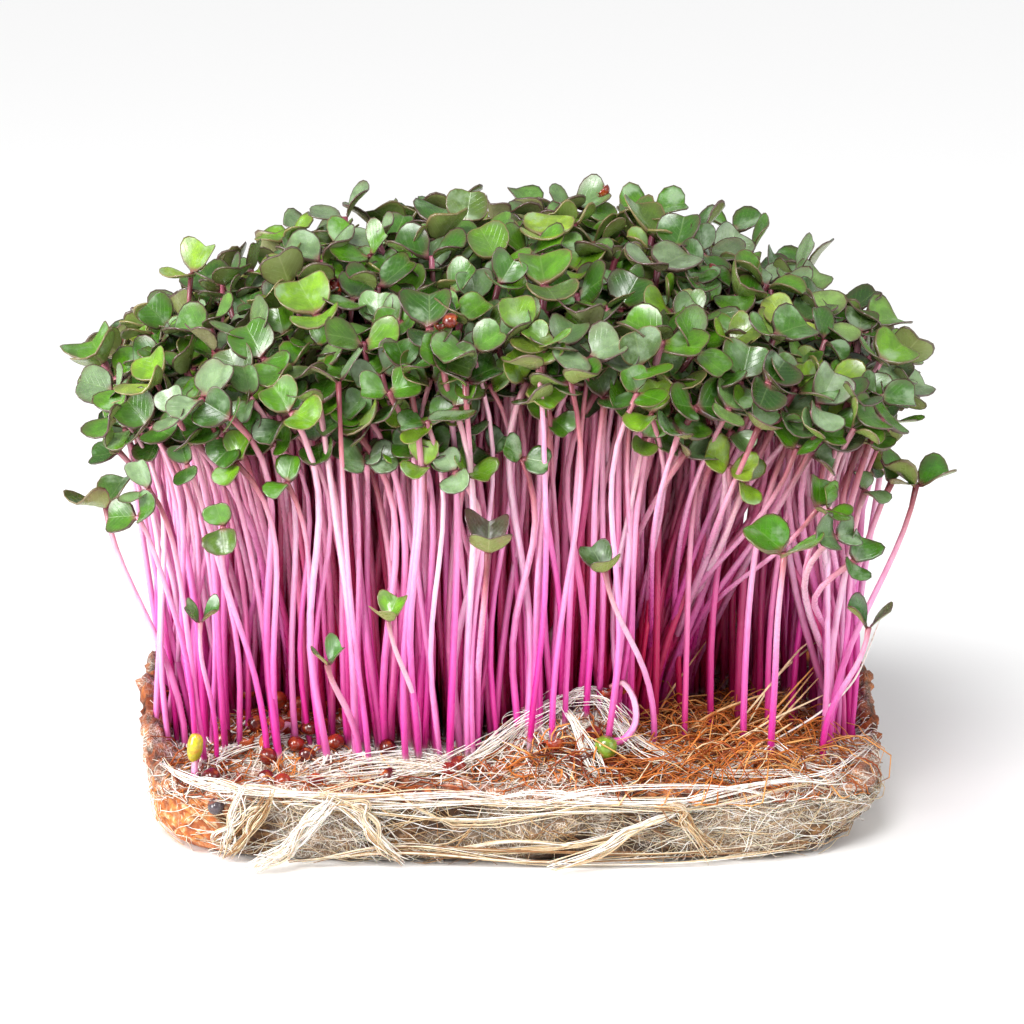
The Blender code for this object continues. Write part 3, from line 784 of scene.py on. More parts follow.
def filler_plan(taken):
    """More seedlings, each where there is most room. Most are in the front half."""
    draw = random.Random(7)
    tops = numpy.zeros((len(taken) + FILLERS, 3))
    tops[:len(taken)] = [seedling["top"] for seedling in taken]
    made = []
    while len(made) < FILLERS:
        best, room = None, -1.0
        for _ in range(FILLER_TRIES):
            x = draw.uniform(-1, 1) * CANOPY_HALF[0] * 1.03
            y = draw.triangular(-1.02, 1.02, -0.8) * CANOPY_HALF[1]
            if in_canopy(x, y) > 1:
                continue
            height, square = dome(x, y)
            lowest = FILLER_DEPTH[0] + (FRINGE_DEPTH - FILLER_DEPTH[0]) * smooth_step(0.15, 0.75, in_canopy(x, y))
            top = Vector((x, y, height)) + square * draw.triangular(lowest, FILLER_DEPTH[1], 0.0)
            free = float(((tops[:len(taken) + len(made)] - top) ** 2).sum(axis=1).min())
            if free > room:
                best, room = (top, square), free
        top, square = best
        foot_x = top.x * FILLER_SHARE[0] + draw.gauss(0, 0.9) * MM
        foot_y = top.y * FILLER_SHARE[1] + FEET_BACK + draw.gauss(0, 0.9) * MM
        foot_x, foot_y = clear_foot(foot_x, foot_y, draw)
        if any(math.hypot(foot_x - seed.x, foot_y - seed.y) < 1.5 * SEED_RADIUS for seed in plain_seeds + more_seeds):
            continue
        tops[len(taken) + len(made)] = top
        out = Vector((top.x / CANOPY_HALF[0], top.y / CANOPY_HALF[1], 0)) * FILLER_OUT
        out += nudge(draw, 0.30)
        made.append({
            "foot": on_soil(foot_x, foot_y), "top": top, "square": (square + out).normalized(),
            "reach": draw.uniform(*FILLER_REACH), "turn": draw.uniform(0, 2 * math.pi),
            "tilts": (draw.uniform(-4, 48), draw.uniform(-4, 48)), "fold": draw.uniform(2, 26), "lean": START_LEAN,
        })
    return made


def seed_places():
    """The plain model's seeds, from the same rule and draws."""
    draw = random.Random(SEED)
    groups = list(tufts.values()) + [[seedling] for seedling in late.values()]
    feet = [seedling["foot"] for group in groups for seedling in group]
    middles = [sum((s["foot"] for s in group), Vector()) / len(group) for group in groups if len(group) > 1]
    places = []
    while len(places) < SEED_COUNT:
        place = Vector((draw.triangular(-43, 41, -30) * MM, draw.triangular(-33.5, 12, -31) * MM, 0))
        kept = [(feet, SEED_CLEAR), (middles, SEED_CLEAR_TUFT), (places, 2.6 * SEED_RADIUS)]
        if all((place - p).xy.length > clear for points, clear in kept for p in points):
            places.append(place)
    return places


plain_seeds = seed_places()
more_seeds = [Vector((x * MM, y * MM, lift * MM)) for x, y, lift in MORE_SEEDS]


def fringe_plan():
    """Seedlings at the edge whose leaves hang lower than the rest, which keeps the stand's lower edge ragged."""
    draw = random.Random(13)
    made = []
    for _ in range(FRINGE):
        front = draw.random() < FRINGE_AT_FRONT
        if front:
            x, y = draw.uniform(-51, 51) * MM, -CANOPY_HALF[1] * draw.uniform(0.80, 0.95)
        else:
            x, y = draw.choice((-1, 1)) * CANOPY_HALF[0] * draw.uniform(0.90, 0.99), draw.uniform(-32, 24) * MM
        height, square = dome(x, y)
        foot_x, foot_y = x * (FILLER_SHARE[0] if front else 0.93), y * FILLER_SHARE[1] + FEET_BACK
        foot_x, foot_y = clear_foot(foot_x, foot_y, draw)
        out = Vector((x / CANOPY_HALF[0] * 0.5 + draw.gauss(0, 0.25),
                      y / CANOPY_HALF[1] * 0.5 + draw.gauss(0, 0.25), 0))
        least, most = (3, 19) if x > -40 * MM else (0, 3)
        made.append({
            "foot": on_soil(foot_x, foot_y),
            "top": Vector((x, y, height - draw.triangular(least, most, least + 3) * MM)),
            "square": (square + out).normalized(), "reach": draw.uniform(*FRINGE_REACH) * MM,
            "turn": draw.uniform(0, 2 * math.pi), "tilts": (draw.uniform(5, 50), draw.uniform(5, 50)),
            "fold": draw.uniform(5, 35), "lean": START_LEAN,
        })
    return made


def tall_plan():
    """A few seedlings that stand above the rest and break the outline."""
    draw = random.Random(17)
    made = []
    for x, y, high in TALL:
        foot_x, foot_y = x * MM * FILLER_SHARE[0], y * MM * FILLER_SHARE[1] + FEET_BACK
        made.append({
            "foot": on_soil(foot_x, foot_y), "top": Vector((x, y, high)) * MM,
            "square": Vector((draw.gauss(0, 0.2), draw.gauss(-0.1, 0.2), 1)).normalized(),
            "reach": draw.uniform(6.2, 7.2) * MM, "turn": draw.gauss(0.2, 0.5),
            "tilts": (draw.uniform(20, 42), draw.uniform(5, 30)), "fold": draw.uniform(5, 20),
        })
    return made


planned = [seedling for tuft in tufts.values() for seedling in tuft]
fillers = filler_plan(planned + list(late.values())) + fringe_plan() + tall_plan()
print("seedlings in all:", len(planned) + len(late) + len(fillers))

# %% [markdown]
# ### Stems
#
# A stem leaves the mat upright and ends square to its leaves. A real one also sways: it grew towards the light
# and round its neighbours. So a bow and an S are added to its curve, small on the stems that the plain model
# has, so that they keep their place, and larger on the others.

# %% The stems
STEM_STATIONS = 12
STEM_SIDES = 5
STEM_RADII = (0.42 * MM, 0.60 * MM)
STEM_SUNK = 2.2 * MM
stem_form = tube_template(STEM_STATIONS, STEM_SIDES)


def stem_route(seedling, count, sway, draw):
    """Points up the stem, from just inside the mat to the leaves."""
    foot, top, square = seedling["foot"], seedling["top"], seedling["square"]
    length = (top - foot).length
    lean = Vector((square.x * 0.7, square.y * 0.7, square.z)).normalized()
    away = (top - foot) * seedling.get("lean", 0.0)
    ends = (foot, foot + Vector((away.x, away.y, length * 0.4)), top - lean * length * 0.3, top)
    bow, bend = nudge(draw, sway), nudge(draw, sway) * 0.6
    points = []
    for index in range(count):
        t = index / (count - 1)
        weights = ((1 - t) ** 3, 3 * t * (1 - t) ** 2, 3 * t * t * (1 - t), t ** 3)
        point = sum((end * weight for end, weight in zip(ends, weights)), Vector())
        points.append(point + bow * math.sin(math.pi * t) + bend * math.sin(2 * math.pi * t))
    points[0].z -= STEM_SUNK
    return numpy.array(points)


def stem_copy(seedling, sway, draw, thin=1.0):
    """The stem's tube, thick at the foot and widening where the leaves join."""
    shares = numpy.linspace(0, 1, STEM_STATIONS)
    radius = draw.uniform(*STEM_RADII) * thin
    radii = radius * (1.12 - 0.32 * shares + 0.25 * numpy.exp(-((1 - shares) / 0.035) ** 2))
    # the third tint is how far inside the stand the stem's top is; the stem material paints shade by it
    tint = (draw.random(), draw.random(), smooth_step(0.75, 0.12, in_canopy(*seedling["top"].xy)))
    return tube_copy(stem_form, stem_route(seedling, STEM_STATIONS, sway, draw), radii, tint)


LEAF_SHARE = 0.89  # of the plain leaf's reach, as these are broader


def leaf_copies(seedling, draw, kinds=fine_leaves, tone=None):
    """Both leaves of a seedling. One is a little smaller than the other."""
    along = Matrix.Rotation(seedling["turn"], 3, "Z")
    stand = Vector((0, 0, 1)).rotation_difference(seedling["square"]).to_matrix()
    bronze = within(draw.gauss(0.22, 0.30), 0.0, 0.8) if tone is None else 0.0
    tone = within(draw.gauss(0.45, 0.27)) if tone is None else tone
    made = []
    for end, tilt in zip((0, math.pi), seedling["tilts"]):
        axes = stand @ along @ Matrix.Rotation(end + draw.gauss(0, 0.10), 3, "Z")
        shrink = 1.0 if end == 0 else draw.uniform(0.82, 0.98)
        shade = within(tone + draw.gauss(0, 0.07))
        made.append(leaf_copy(draw.choice(kinds), seedling["top"], axes, seedling["reach"] * LEAF_SHARE * shrink,
                              tilt, seedling["fold"], shade, bronze))
    return made


# %% [markdown]
# A stem is magenta where it leaves the mat, pale pink along its middle and brownish pink under its leaves. It
# is juicy, so light goes some way into it. Deeper inside the stand its colour turns a darker crimson, which is
# painted shade.

# %% The stem's material
def make_stem_look():
    """Magenta at the foot, pale pink in the middle, brownish pink under the leaves, and a darker crimson of painted
    shade deep in the stand.
    """
    look, tree, shader = new_material("pink_stem")
    share, _, _ = tags_of(tree, PLACE)
    tone, shift, depth = tags_of(tree, TINT)
    moved = maths(tree, "ADD", share, maths(tree, "MULTIPLY", maths(tree, "SUBTRACT", shift, 0.5), 0.24))
    pink = steps(tree, moved, (0.0, "#C61E84"), (0.14, "#D840A2"), (0.32, "#E574BE"), (0.54, "#EFA8D0"),
                 (0.80, "#E4A6BC"), (0.93, "#B87078"), (1.0, "#84444A"))
    pale = steps(tree, share, (0.0, "#DE68B4"), (0.25, "#EFA6D4"), (0.5, "#F6D0E6"), (0.85, "#E6B8C2"),
                 (1.0, "#A0626A"))
    pink = blended(tree, rise(tree, tone, 0.55, 1.0), pink, pale)
    # painted shade: stems deep inside the stand take this darker crimson, by the third tint
    deep = steps(tree, moved, (0.0, "#A80C3C"), (0.2, "#D01656"), (0.45, "#DC4C80"), (0.7, "#DC8CA4"),
                 (0.92, "#A86070"), (1.0, "#6E323C"))
    pink = blended(tree, maths(tree, "MULTIPLY", depth, 0.95), pink, deep)
    place = object_place(tree)
    drawn_out = add(tree, "ShaderNodeMapping", {"Vector": place, "Scale": (1.0, 1.0, 0.10)}).outputs[0]
    streaks = grains(tree, drawn_out, 1500.0, 2.0)
    pink = blended(tree, rise(tree, streaks, 0.48, 0.78, 0.0, 0.25), pink, colour("#B02C74"))
    rooted = rise(tree, share, 0.045, 0.026)
    pink = blended(tree, maths(tree, "MULTIPLY", rooted, 0.8), pink, colour("#EED8DC"))
    relief(tree, shader, streaks, 0.00006, 0.5)
    fill(tree, shader, {
        "Base Color": pink, "Roughness": rise(tree, streaks, 0.3, 0.7, 0.24, 0.36),
        "Subsurface Weight": 0.25, "Subsurface Scale": 0.0010, "Subsurface Radius": (1.0, 0.35, 0.7)})
    return look


stem_look = make_stem_look()

# %% Make the stand, in six blocks
BLOCK_EDGES = (-19.0 * MM, 19.0 * MM)
PLAIN_SWAY = 0.35 * MM
LATE_TONES = (0.30, 0.35, 0.70, 0.05, 0.25, 0.55, 0.35, 0.45, 0.45, 0.4, 0.5)  # dark purple to green to yellow
SMALL_LEAF = 6.3 * MM  # below this reach, late leaves are still folded
FILLER_SWAY = 1.3 * MM


def block_of(seedling):
    """Which of the six blocks of the stand a seedling is in."""
    column = sum(seedling["top"].x > edge for edge in BLOCK_EDGES)
    return column + (3 if seedling["top"].y > 0 else 0)


stand_draw = random.Random(5)
leaves, stems, stood_for = ({block: [] for block in range(6)} for _ in range(3))
for name, tuft in tufts.items():
    stood_for[block_of(tuft[0])].append(name)
    for seedling in tuft:
        stems[block_of(tuft[0])].append(stem_copy(seedling, PLAIN_SWAY, stand_draw))
        leaves[block_of(tuft[0])] += leaf_copies(seedling, stand_draw)
for seedling in fillers:
    stems[block_of(seedling)].append(stem_copy(seedling, FILLER_SWAY, stand_draw, 0.92))
    hidden = seedling["top"].y > 14 * MM or (seedling["top"] - Vector((0, 0, dome(*seedling["top"].xy)[0]))).z < -8 * MM
    leaves[block_of(seedling)] += leaf_copies(seedling, stand_draw, coarse_leaves if hidden else fine_leaves)
for block in range(6):
    settle(gather(f"leaves_{block + 1}", leaves[block], leaf_look), "seedling_leaf", *stood_for[block])
    settle(gather(f"stems_{block + 1}", stems[block], stem_look), "seedling_stem", *stood_for[block])

late_stems = [stem_copy(seedling, PLAIN_SWAY, stand_draw, 0.85) for seedling in late.values()]
late_leaves = []
for seedling, tone in zip(late.values(), LATE_TONES):
    if seedling["reach"] < SMALL_LEAF:
        seedling = {**seedling, "tilts": (38, 54), "fold": 40}
    late_leaves += leaf_copies(seedling, stand_draw, tone=tone)
settle(gather("late_stems", late_stems, stem_look), "seedling_stem", *late)
settle(gather("late_leaves", late_leaves, young_look), "seedling_leaf", *late)


# %% [markdown]
# ## The growing mat
#
# The coir slab and the skin of roots round it are made the same way: a grid whose rows are laid along the
# mat's profile, and whose ends and sides are then merged, so that it closes. The points then move in and out by
# layered noise, which gives crumbs, pits and lumps that the light can catch. How deep each point lies in a pit
# is kept as a tag, so that the material can paint shade into it.

# %% Lay a grid's rows along a profile
AROUND = 360
TURNS = [turn_at(ROUND * index / AROUND) for index in range(AROUND)]  # evenly spaced by distance walked


def lofted(*rings):
    """A closed bmesh through rings. Each is a function of the turn, with the number of rows up to it."""
    keys = [(numpy.array([ring(turn) for turn in TURNS]), rows) for ring, rows in rings]
    filled = [keys[0][0]]
    for (low, _), (high, rows) in zip(keys, keys[1:]):
        filled += [low + (high - low) * row / rows for row in range(1, rows + 1)]
    last = len(filled) - 1
    bm = bmesh.new()
    bmesh.ops.create_grid(bm, x_segments=AROUND, y_segments=last, size=0.5)
    for vert in bm.verts:
        vert.co = filled[round((vert.co.y + 0.5) * last)][round((vert.co.x + 0.5) * AROUND) % AROUND]
    bmesh.ops.remove_doubles(bm, verts=bm.verts, dist=1e-6)
    bmesh.ops.recalc_face_normals(bm, faces=bm.faces)
    bm.normal_update()
    return bm


def relieved(bm, name, look, push):
    """The bmesh as an object, each point moved by push, which also gives its tags. Its surface comes too."""
    moves = [push(vert.co, vert.normal) for vert in bm.verts]
    tags = []
    for vert, (move, tag) in zip(bm.verts, moves):
        vert.co += move
        tags.append(tag)
    surface = BVHTree.FromBMesh(bm)
    mesh = bpy.data.meshes.new(name)
    bm.to_mesh(mesh)
    bm.free()
    mesh.attributes.new(TINT, "FLOAT_VECTOR", "POINT").data.foreach_set("vector", numpy.array(tags).ravel())
    mesh.shade_smooth()
    mesh.materials.append(look)
    print(name, "has", sum(len(face.vertices) - 2 for face in mesh.polygons), "triangles")
    return in_scene(name, mesh), surface


def wall_ring(inset, height_of):
    """A ring on the wall, for lofted. Its height is a function of the turn."""
    return lambda turn: (*wall_point(turn, height_of(turn), inset), height_of(turn))


def flat_ring(share, height, inset):
    """A level ring at this share of the way out from the middle."""
    def ring(turn):
        x, y = wall_point(turn, height, inset)
        return x * share, y * share, height
    return ring


def crumbs(place, size, seed):
    """0 between crumbs of this size and about 1 on top of them."""
    apart = noise.voronoi(place / size + Vector((seed, 0, 0)))[0]
    return min(1.0, (apart[1] - apart[0]) * 1.7)


# %% [markdown]
# ### Coir and root skin
#
# The coir's walls are ragged, and the front has none: its surface ends at the root skin. The skin bulges at
# the right, where the roots grew thickest, and its hem is scalloped with hollows between the hanks of root.

# %% The coir mat
COIR_LUMP = 7.0 * MM
COIR_CRUMB = 2.3 * MM
RIGHT_BULGE = 2.2 * MM
BED_HEIGHT = 2.4 * MM  # how much the coir rises under the seeds


def bulge(place):
    """How far the right side of the mat stands out at this place."""
    high_enough = smooth_step(1 * MM, 8 * MM, place.z) * smooth_step(24 * MM, 13 * MM, place.z)
    return RIGHT_BULGE * smooth_step(40 * MM, 52 * MM, place.x) * high_enough


def push_coir(place, square):
    """Crumbs, lumps and pits, stronger on the walls than on the planted surface."""
    wall = smooth_step(11.5 * MM, 15.0 * MM, place.z) * smooth_step(0.75, 0.95, abs(place.x) / (50 * MM)) \
        + smooth_step(26 * MM, 33 * MM, place.y)
    crumb = crumbs(place, COIR_CRUMB, 0)
    fine = noise.fractal(place / (0.9 * MM), 0.7, 2.0, 3)
    lump = noise.noise(place / COIR_LUMP)
    move = square * ((crumb - 0.6) * 0.75 + fine * 0.28 + lump * 0.7) * MM
    if square.z > 0.3:
        apart = Vector(((place.x - BED_AT[0]) / BED_HALF[0], (place.y - BED_AT[1]) / BED_HALF[1]))
        move.z += BED_HEIGHT * math.exp(-apart.length_squared)
    move.z += noise.noise(place / (3.1 * MM)) * 1.3 * MM * smooth_step(14 * MM, 20 * MM, place.z)
    if square.z < -0.5:
        move *= 0.1
    # the first tag, how deep a point lies in a pit, is used by the material for painted shade
    return move + Vector((bulge(place), 0, 0)), (1 - crumb, min(1.0, wall), 0.5 + fine * 0.5)


def make_coir_look():
    """Damp orange-brown coir: pale crumbs, pits darkened as painted shade, and a film of white roots where the front is
    in the light.
    """
    look, tree, shader = new_material("coir")
    pit_shade, wall, fine = tags_of(tree, TINT)
    place = object_place(tree)
    spots = grains(tree, place, 520.0, 5.0, 0.7)
    broad = grains(tree, place, 110.0, 3.0)
    brown = steps(tree, spots, (0.25, "#4A1D0C"), (0.45, "#93441A"), (0.62, "#C5722F"), (0.80, "#E3A45C"))
    brown = blended(tree, rise(tree, broad, 0.40, 0.66, 0.0, 0.7), brown, colour("#8E3C16"), "MULTIPLY")
    # painted shade: the pits between the crumbs are darkened
    brown = blended(tree, rise(tree, pit_shade, 0.45, 0.95, 0.0, 0.9), brown, colour("#2A0E06"))
    brown = web_over(tree, brown, place, 1.0)
    relief(tree, shader, spots, 0.0008, 0.9)
    fill(tree, shader, {"Base Color": brown, "Roughness": rise(tree, spots, 0.3, 0.7, 0.5, 0.85)})
    return look


def web_over(tree, base, place, amount):
    """Fine white root threads drawn over a colour: the borders of warped cells, in patches."""
    warp = add(tree, "ShaderNodeTexNoise", {"Vector": place, "Scale": 260.0, "Detail": 2.0}).outputs["Color"]
    warp = add(tree, "ShaderNodeVectorMath", {0: warp, "Scale": 0.0042}, operation="SCALE").outputs[0]
    moved = add(tree, "ShaderNodeVectorMath", {0: place, 1: warp}, operation="ADD").outputs[0]
    lines = None
    for scale, width in ((700.0, 0.045), (1250.0, 0.05)):
        cells = add(tree, "ShaderNodeTexVoronoi", {"Vector": moved, "Scale": scale}, feature="DISTANCE_TO_EDGE")
        line = rise(tree, cells.outputs["Distance"], width, width * 0.2)
        lines = line if lines is None else maths(tree, "MAXIMUM", lines, line)
    patches = grains(tree, place, 95.0, 3.0)
    at_front = rise(tree, part_of(tree, place, "Y"), 0.014, -0.020, 0.15, 1.0)
    share = maths(tree, "MULTIPLY", rise(tree, patches, 0.38, 0.60), at_front)
    share = maths(tree, "MULTIPLY", share, amount, clamp=True)
    film = blended(tree, maths(tree, "MULTIPLY", share, 0.30), base, colour("#E0CCB0"))
    return blended(tree, maths(tree, "MULTIPLY", lines, share), film, colour("#F7F1E6"))


def coir_rings():
    """The coir's profile, from the middle of the planted surface to the middle of its underside."""
    def on_top(share):
        def ring(turn):
            x, y = wall_point(turn, SOIL_TOP, 4.6 * MM)
            return x * share, y * share, soil_height(x * share, y * share)
        return ring

    def above_skin(turn):
        return skin_edge(turn) + 0.3 * MM

    inset, under = SKIN_THICK + 0.3 * MM, (1.8 * MM, 3.2 * MM)
    rings = [(on_top(share), 1) for share in numpy.linspace(0, 1, 64)]
    rings += [(wall_ring(RIM_THICK, lambda turn: max(rim_height(turn) - 0.4 * MM, FRONT_RIM)), 16),
              (wall_ring(RIM_THICK * 0.55, lambda turn: rim_height(turn) + 0.1 * MM), 2),
              (wall_ring(0.3 * MM, lambda turn: rim_height(turn) - 0.9 * MM), 2),
              (wall_ring(0.0, above_skin), 16), (wall_ring(inset, above_skin), 1),
              (wall_ring(inset, lambda turn: 2.6 * MM), 1), (flat_ring(1.0, *under), 1), (flat_ring(0.0, *under), 1)]
    return rings


coir_look = make_coir_look()
coir, soil = relieved(lofted(*coir_rings()), "coir_fine", coir_look, push_coir)
settle(coir, "coir", "coir_mat")

# %% The root skin
HEM_HIGH = 4.2 * MM
BARE_CORNER = (-37.0 * MM, -44.0 * MM)  # from here to here along the front, the skin gives way to bare coir


def push_skin(place, square):
    """Hollows and swellings on the outside, a scalloped hem, and nothing that would lift the mat off its base."""
    outside = smooth_step(0.0, 0.4, square.xy.length) if square.xy.dot(place.xy) > 0 else 0.0
    swell = noise.noise(place / (6.0 * MM)) * 0.9 + noise.fractal(place / (2.2 * MM), 0.7, 2.0, 3) * 0.34
    crumb = crumbs(place + noise.noise_vector(place / (2.6 * MM)) * 1.1 * MM, 1.6 * MM, 5)
    low = max(0.0, 1 - place.z / HEM_HIGH) * smooth_step(20 * MM, 30 * MM, place.xy.length)
    scallop = max(0.0, noise.noise(Vector((place.x, place.y, 0)) / (5.5 * MM) + Vector((3, 0, 0)))) * 2.6 * MM * low
    inward = Vector((place.x, place.y, 0)).normalized()
    hollow = smooth_step(17 * MM, 8 * MM, abs(place.x - 2 * MM)) if place.y < 0 else 0.0
    hollow *= smooth_step(0.2, -0.5, noise.noise(place / (4.5 * MM)))
    move = square * (swell + (crumb - 0.6) * 0.6 - 0.9 * hollow) * MM * outside
    if square.z < -0.6:
        move = Vector((0, 0, max(0.0, swell) * 0.25 * MM))
    move -= inward * scallop
    move.z = max(move.z, -place.z)
    # the tags: how deep in a pit and how swollen or hollow; the skin's material paints shade by both
    return move + Vector((bulge(place), 0, 0)), (1 - crumb, 0.5 + swell * 0.5 - 0.4 * hollow, outside)


def make_skin_look():
    """Tan root felt with painted shade in its hollows in the middle and in its pits, a white web and bare orange coir
    at the left corner.
    """
    look, tree, shader = new_material("root_skin")
    pit_shade, swell, _ = tags_of(tree, TINT)
    place = object_place(tree)
    across = part_of(tree, place, "X")
    spots = grains(tree, place, 480.0, 5.0, 0.68)
    felt = steps(tree, spots, (0.25, "#2E1A0C"), (0.45, "#6A4420"), (0.62, "#9A7040"), (0.85, "#CCAC7C"))
    in_middle = rise(tree, maths(tree, "ABSOLUTE", across), 0.034, 0.016)
    # painted shade: the hollows in the middle of the front are darkened
    hollow = maths(tree, "MULTIPLY", rise(tree, swell, 0.62, 0.30), in_middle)
    felt = blended(tree, maths(tree, "MULTIPLY", hollow, 0.9), felt, colour("#38261A"))
    # painted shade in the felt's pits
    felt = blended(tree, rise(tree, pit_shade, 0.4, 0.85, 0.0, 0.85), felt, colour("#40240F"))
    bare = steps(tree, spots, (0.25, "#6E2C10"), (0.45, "#BF6427"), (0.62, "#DE8F45"), (0.8, "#F1C189"))
    grain = grains(tree, place, 1100.0, 3.0)
    bare = blended(tree, rise(tree, grain, 0.50, 0.70, 0.0, 0.75), bare, colour("#F4D6A8"))
    # painted shade in the bare coir's pits
    bare = blended(tree, rise(tree, pit_shade, 0.5, 0.95, 0.0, 0.65), bare, colour("#6A2A10"))
    ragged = maths(tree, "ADD", across, maths(tree, "MULTIPLY", maths(tree, "SUBTRACT", spots, 0.5), 0.02))
    felt = web_over(tree, felt, place, 0.7)
    at_front = rise(tree, part_of(tree, place, "Y"), -0.008, -0.020)
    shade = blended(tree, maths(tree, "MULTIPLY", rise(tree, ragged, *BARE_CORNER), at_front), felt, bare)
    relief(tree, shader, spots, 0.0007, 0.8)
    fill(tree, shader, {"Base Color": shade, "Roughness": 0.62})
    return look


def skin_rings():
    """The shell's profile: the inside from its middle up to the edge, then the outside down and under."""
    return [(flat_ring(0.0, SKIN_THICK, 2.9 * MM), 0), (flat_ring(1.0, SKIN_THICK, 2.6 * MM), 1),
            (wall_ring(SKIN_THICK, lambda turn: 2.4 * MM), 1), (wall_ring(SKIN_THICK, skin_edge), 1),
            (wall_ring(SKIN_THICK * 0.4, lambda turn: skin_edge(turn) + 0.25 * MM), 1), (wall_ring(0.0, skin_edge), 1),
            (wall_ring(0.0, lambda turn: 4.6 * MM), 8), (wall_ring(0.0, lambda turn: 2.6 * MM), 4),
            (wall_ring(0.0, lambda turn: 1.2 * MM), 3), (wall_ring(0.0, lambda turn: 0.4 * MM), 2),
            (flat_ring(1.0, 0.0, 0.0), 1), (flat_ring(0.0, 0.0, 0.0), 14)]


skin_look = make_skin_look()
skin, felt = relieved(lofted(*skin_rings()), "root_skin_fine", skin_look, push_skin)
settle(skin, "root", "root_skin")


# %% [markdown]
# ## Threads that creep
#
# Roots and fibres follow the ground. Each one steps over a surface that was kept when the mat was made: it
# moves a little way in its heading, drops back to the nearest point, turns its heading flat again and wanders.
# A lift lets it arch off the surface, and every step is seeded, so the same threads grow each time.

# %% Threads over a surface
THREAD_STATIONS = 8
THREAD_SIDES = 3
LONG_STATIONS = 16
LONG_SIDES = 4
thread_form = tube_template(THREAD_STATIONS, THREAD_SIDES)
long_form = tube_template(LONG_STATIONS, LONG_SIDES)


def crawl(surface, start, heading, length, count, wander, lift, draw):
    """Points of a thread that creeps over the surface from start."""
    place, square, _, _ = surface.find_nearest(start)
    step = length / (count - 1)
    points = []
    for index in range(count):
        arch = math.sin(math.pi * index / (count - 1)) * lift
        points.append(place + square * (arch + 0.06 * MM))
        heading = Matrix.Rotation(draw.gauss(0, wander), 3, square) @ heading
        heading = (heading - square * heading.dot(square)).normalized()
        place, square, _, _ = surface.find_nearest(place + heading * step)
    return points


def crept(surface, start, heading, length, radius, tint, draw, wander=0.35, lift=0.0, form=thread_form):
    """A copy of a thread that creeps over the surface."""
    count = form["stations"]
    route = crawl(surface, start, heading, length, count, wander, lift, draw)
    return tube_copy(form, route, tapered(radius, count), tint)


def smooth_route(points, count):
    """Even points on a smooth curve through a few given ones."""
    given = numpy.array(points, dtype=float)
    padded = numpy.concatenate([[2 * given[0] - given[1]], given, [2 * given[-1] - given[-2]]])
    made = []
    for at in numpy.linspace(0, len(given) - 1 - 1e-9, count):
        k, t = int(at), at - int(at)
        a, b, c, d = padded[k:k + 4]
        square, cube = 2 * a - 5 * b + 4 * c - d, 3 * b - 3 * c + d - a
        made.append(0.5 * (2 * b + (c - a) * t + square * t * t + cube * t ** 3))
    return numpy.array(made)


def thread_tint(draw, tone, spread):
    """A thread's tone, drawn about its mean, and two even draws."""
    return within(draw.gauss(tone, spread)), draw.random(), draw.random()


def bundle(points, half_width, half_thick, threads, tone, draw, radius=0.085 * MM, fray=0.0, twist=3.2, loose=0.4):
    """Copies of threads that run together along a route, with some looser ones and perhaps a frayed end."""
    centre = smooth_route(points, 48)
    sides, outs = across_route(centre)
    shares = numpy.linspace(0, 1, len(centre))
    copies = []
    for _ in range(threads):
        first = draw.uniform(-0.12, 0.45)
        at = numpy.linspace(max(0.0, first), min(1.0, first + draw.uniform(0.5, 0.9)), LONG_STATIONS)
        phase, turn = draw.uniform(0, 2 * math.pi), draw.gauss(0, twist)
        reach = math.sqrt(draw.random()) * (draw.uniform(1.3, 2.2) if draw.random() < loose else 1.0)
        wave, quick = draw.gauss(0, 0.45), draw.uniform(5, 14)
        angle = phase + turn * at + wave * numpy.sin(quick * at)
        spread = (1 + fray * numpy.clip((at - 0.72) / 0.28, 0, 1) ** 1.5) * reach
        parts = [numpy.stack([numpy.interp(at, shares, values[:, axis]) for axis in range(3)], axis=1)
                 for values in (centre, sides, outs)]
        route = parts[0] + parts[1] * (numpy.cos(angle) * spread * half_width)[:, None]
        route += parts[2] * (numpy.sin(angle) * spread * half_thick)[:, None]
        route[:, 2] = numpy.maximum(route[:, 2], 0.15 * MM)
        tint = thread_tint(draw, tone, 0.22)
        copies.append(tube_copy(long_form, route, tapered(radius * draw.uniform(0.6, 1.3), LONG_STATIONS, 0.5), tint))
    return copies


def make_thread_look(name, stops, spot, spot_scale, spot_from, sockets):
    """A thread whose tone picks its colour, with spots of another."""
    look, tree, shader = new_material(name)
    shade = steps(tree, tags_of(tree, TINT)[0], *stops)
    spots = grains(tree, object_place(tree), spot_scale, 3.0)
    shade = blended(tree, rise(tree, spots, spot_from, 0.75, 0.0, 0.6), shade, colour(spot))
    fill(tree, shader, {"Base Color": shade, **sockets})
    return look


root_look = make_thread_look(  # silky, from white over cream to tan
    "root_thread", [(0.0, "#FBF8F3"), (0.35, "#EFE6DA"), (0.6, "#E0CDAC"), (0.8, "#C4A274"), (1.0, "#8E6238")],
    "#B08C66", 900.0, 0.48, {"Roughness": 0.42, "Subsurface Weight": 0.12, "Subsurface Scale": 0.0006})
fibre_look = make_thread_look(  # from dark brown over orange to straw
    "coir_fibre", [(0.0, "#5A210C"), (0.3, "#A24A17"), (0.6, "#D27A2C"), (0.8, "#E7AC62"), (1.0, "#F0DDB4")],
    "#7A2E10", 800.0, 0.45, {"Roughness": 0.5})

# %% [markdown]
# ### Roots on the outside
#
# A fine net covers the skin all round and is thickest at the front. Over it run the hanks: a rope along the top
# edge, an arch with two legs, the left hanks and thinner strands. Each lies where the plain model has its strand,
# or up to 2 mm above it, where the photograph shows it. The pale hank at the left is only here.

# %% The net and the hanks
NET_THREADS = 1150
BARE_MIDDLE = 15.0 * MM  # this far to each side the front is hollow and brown, with few white threads
thread_draw = random.Random(21)


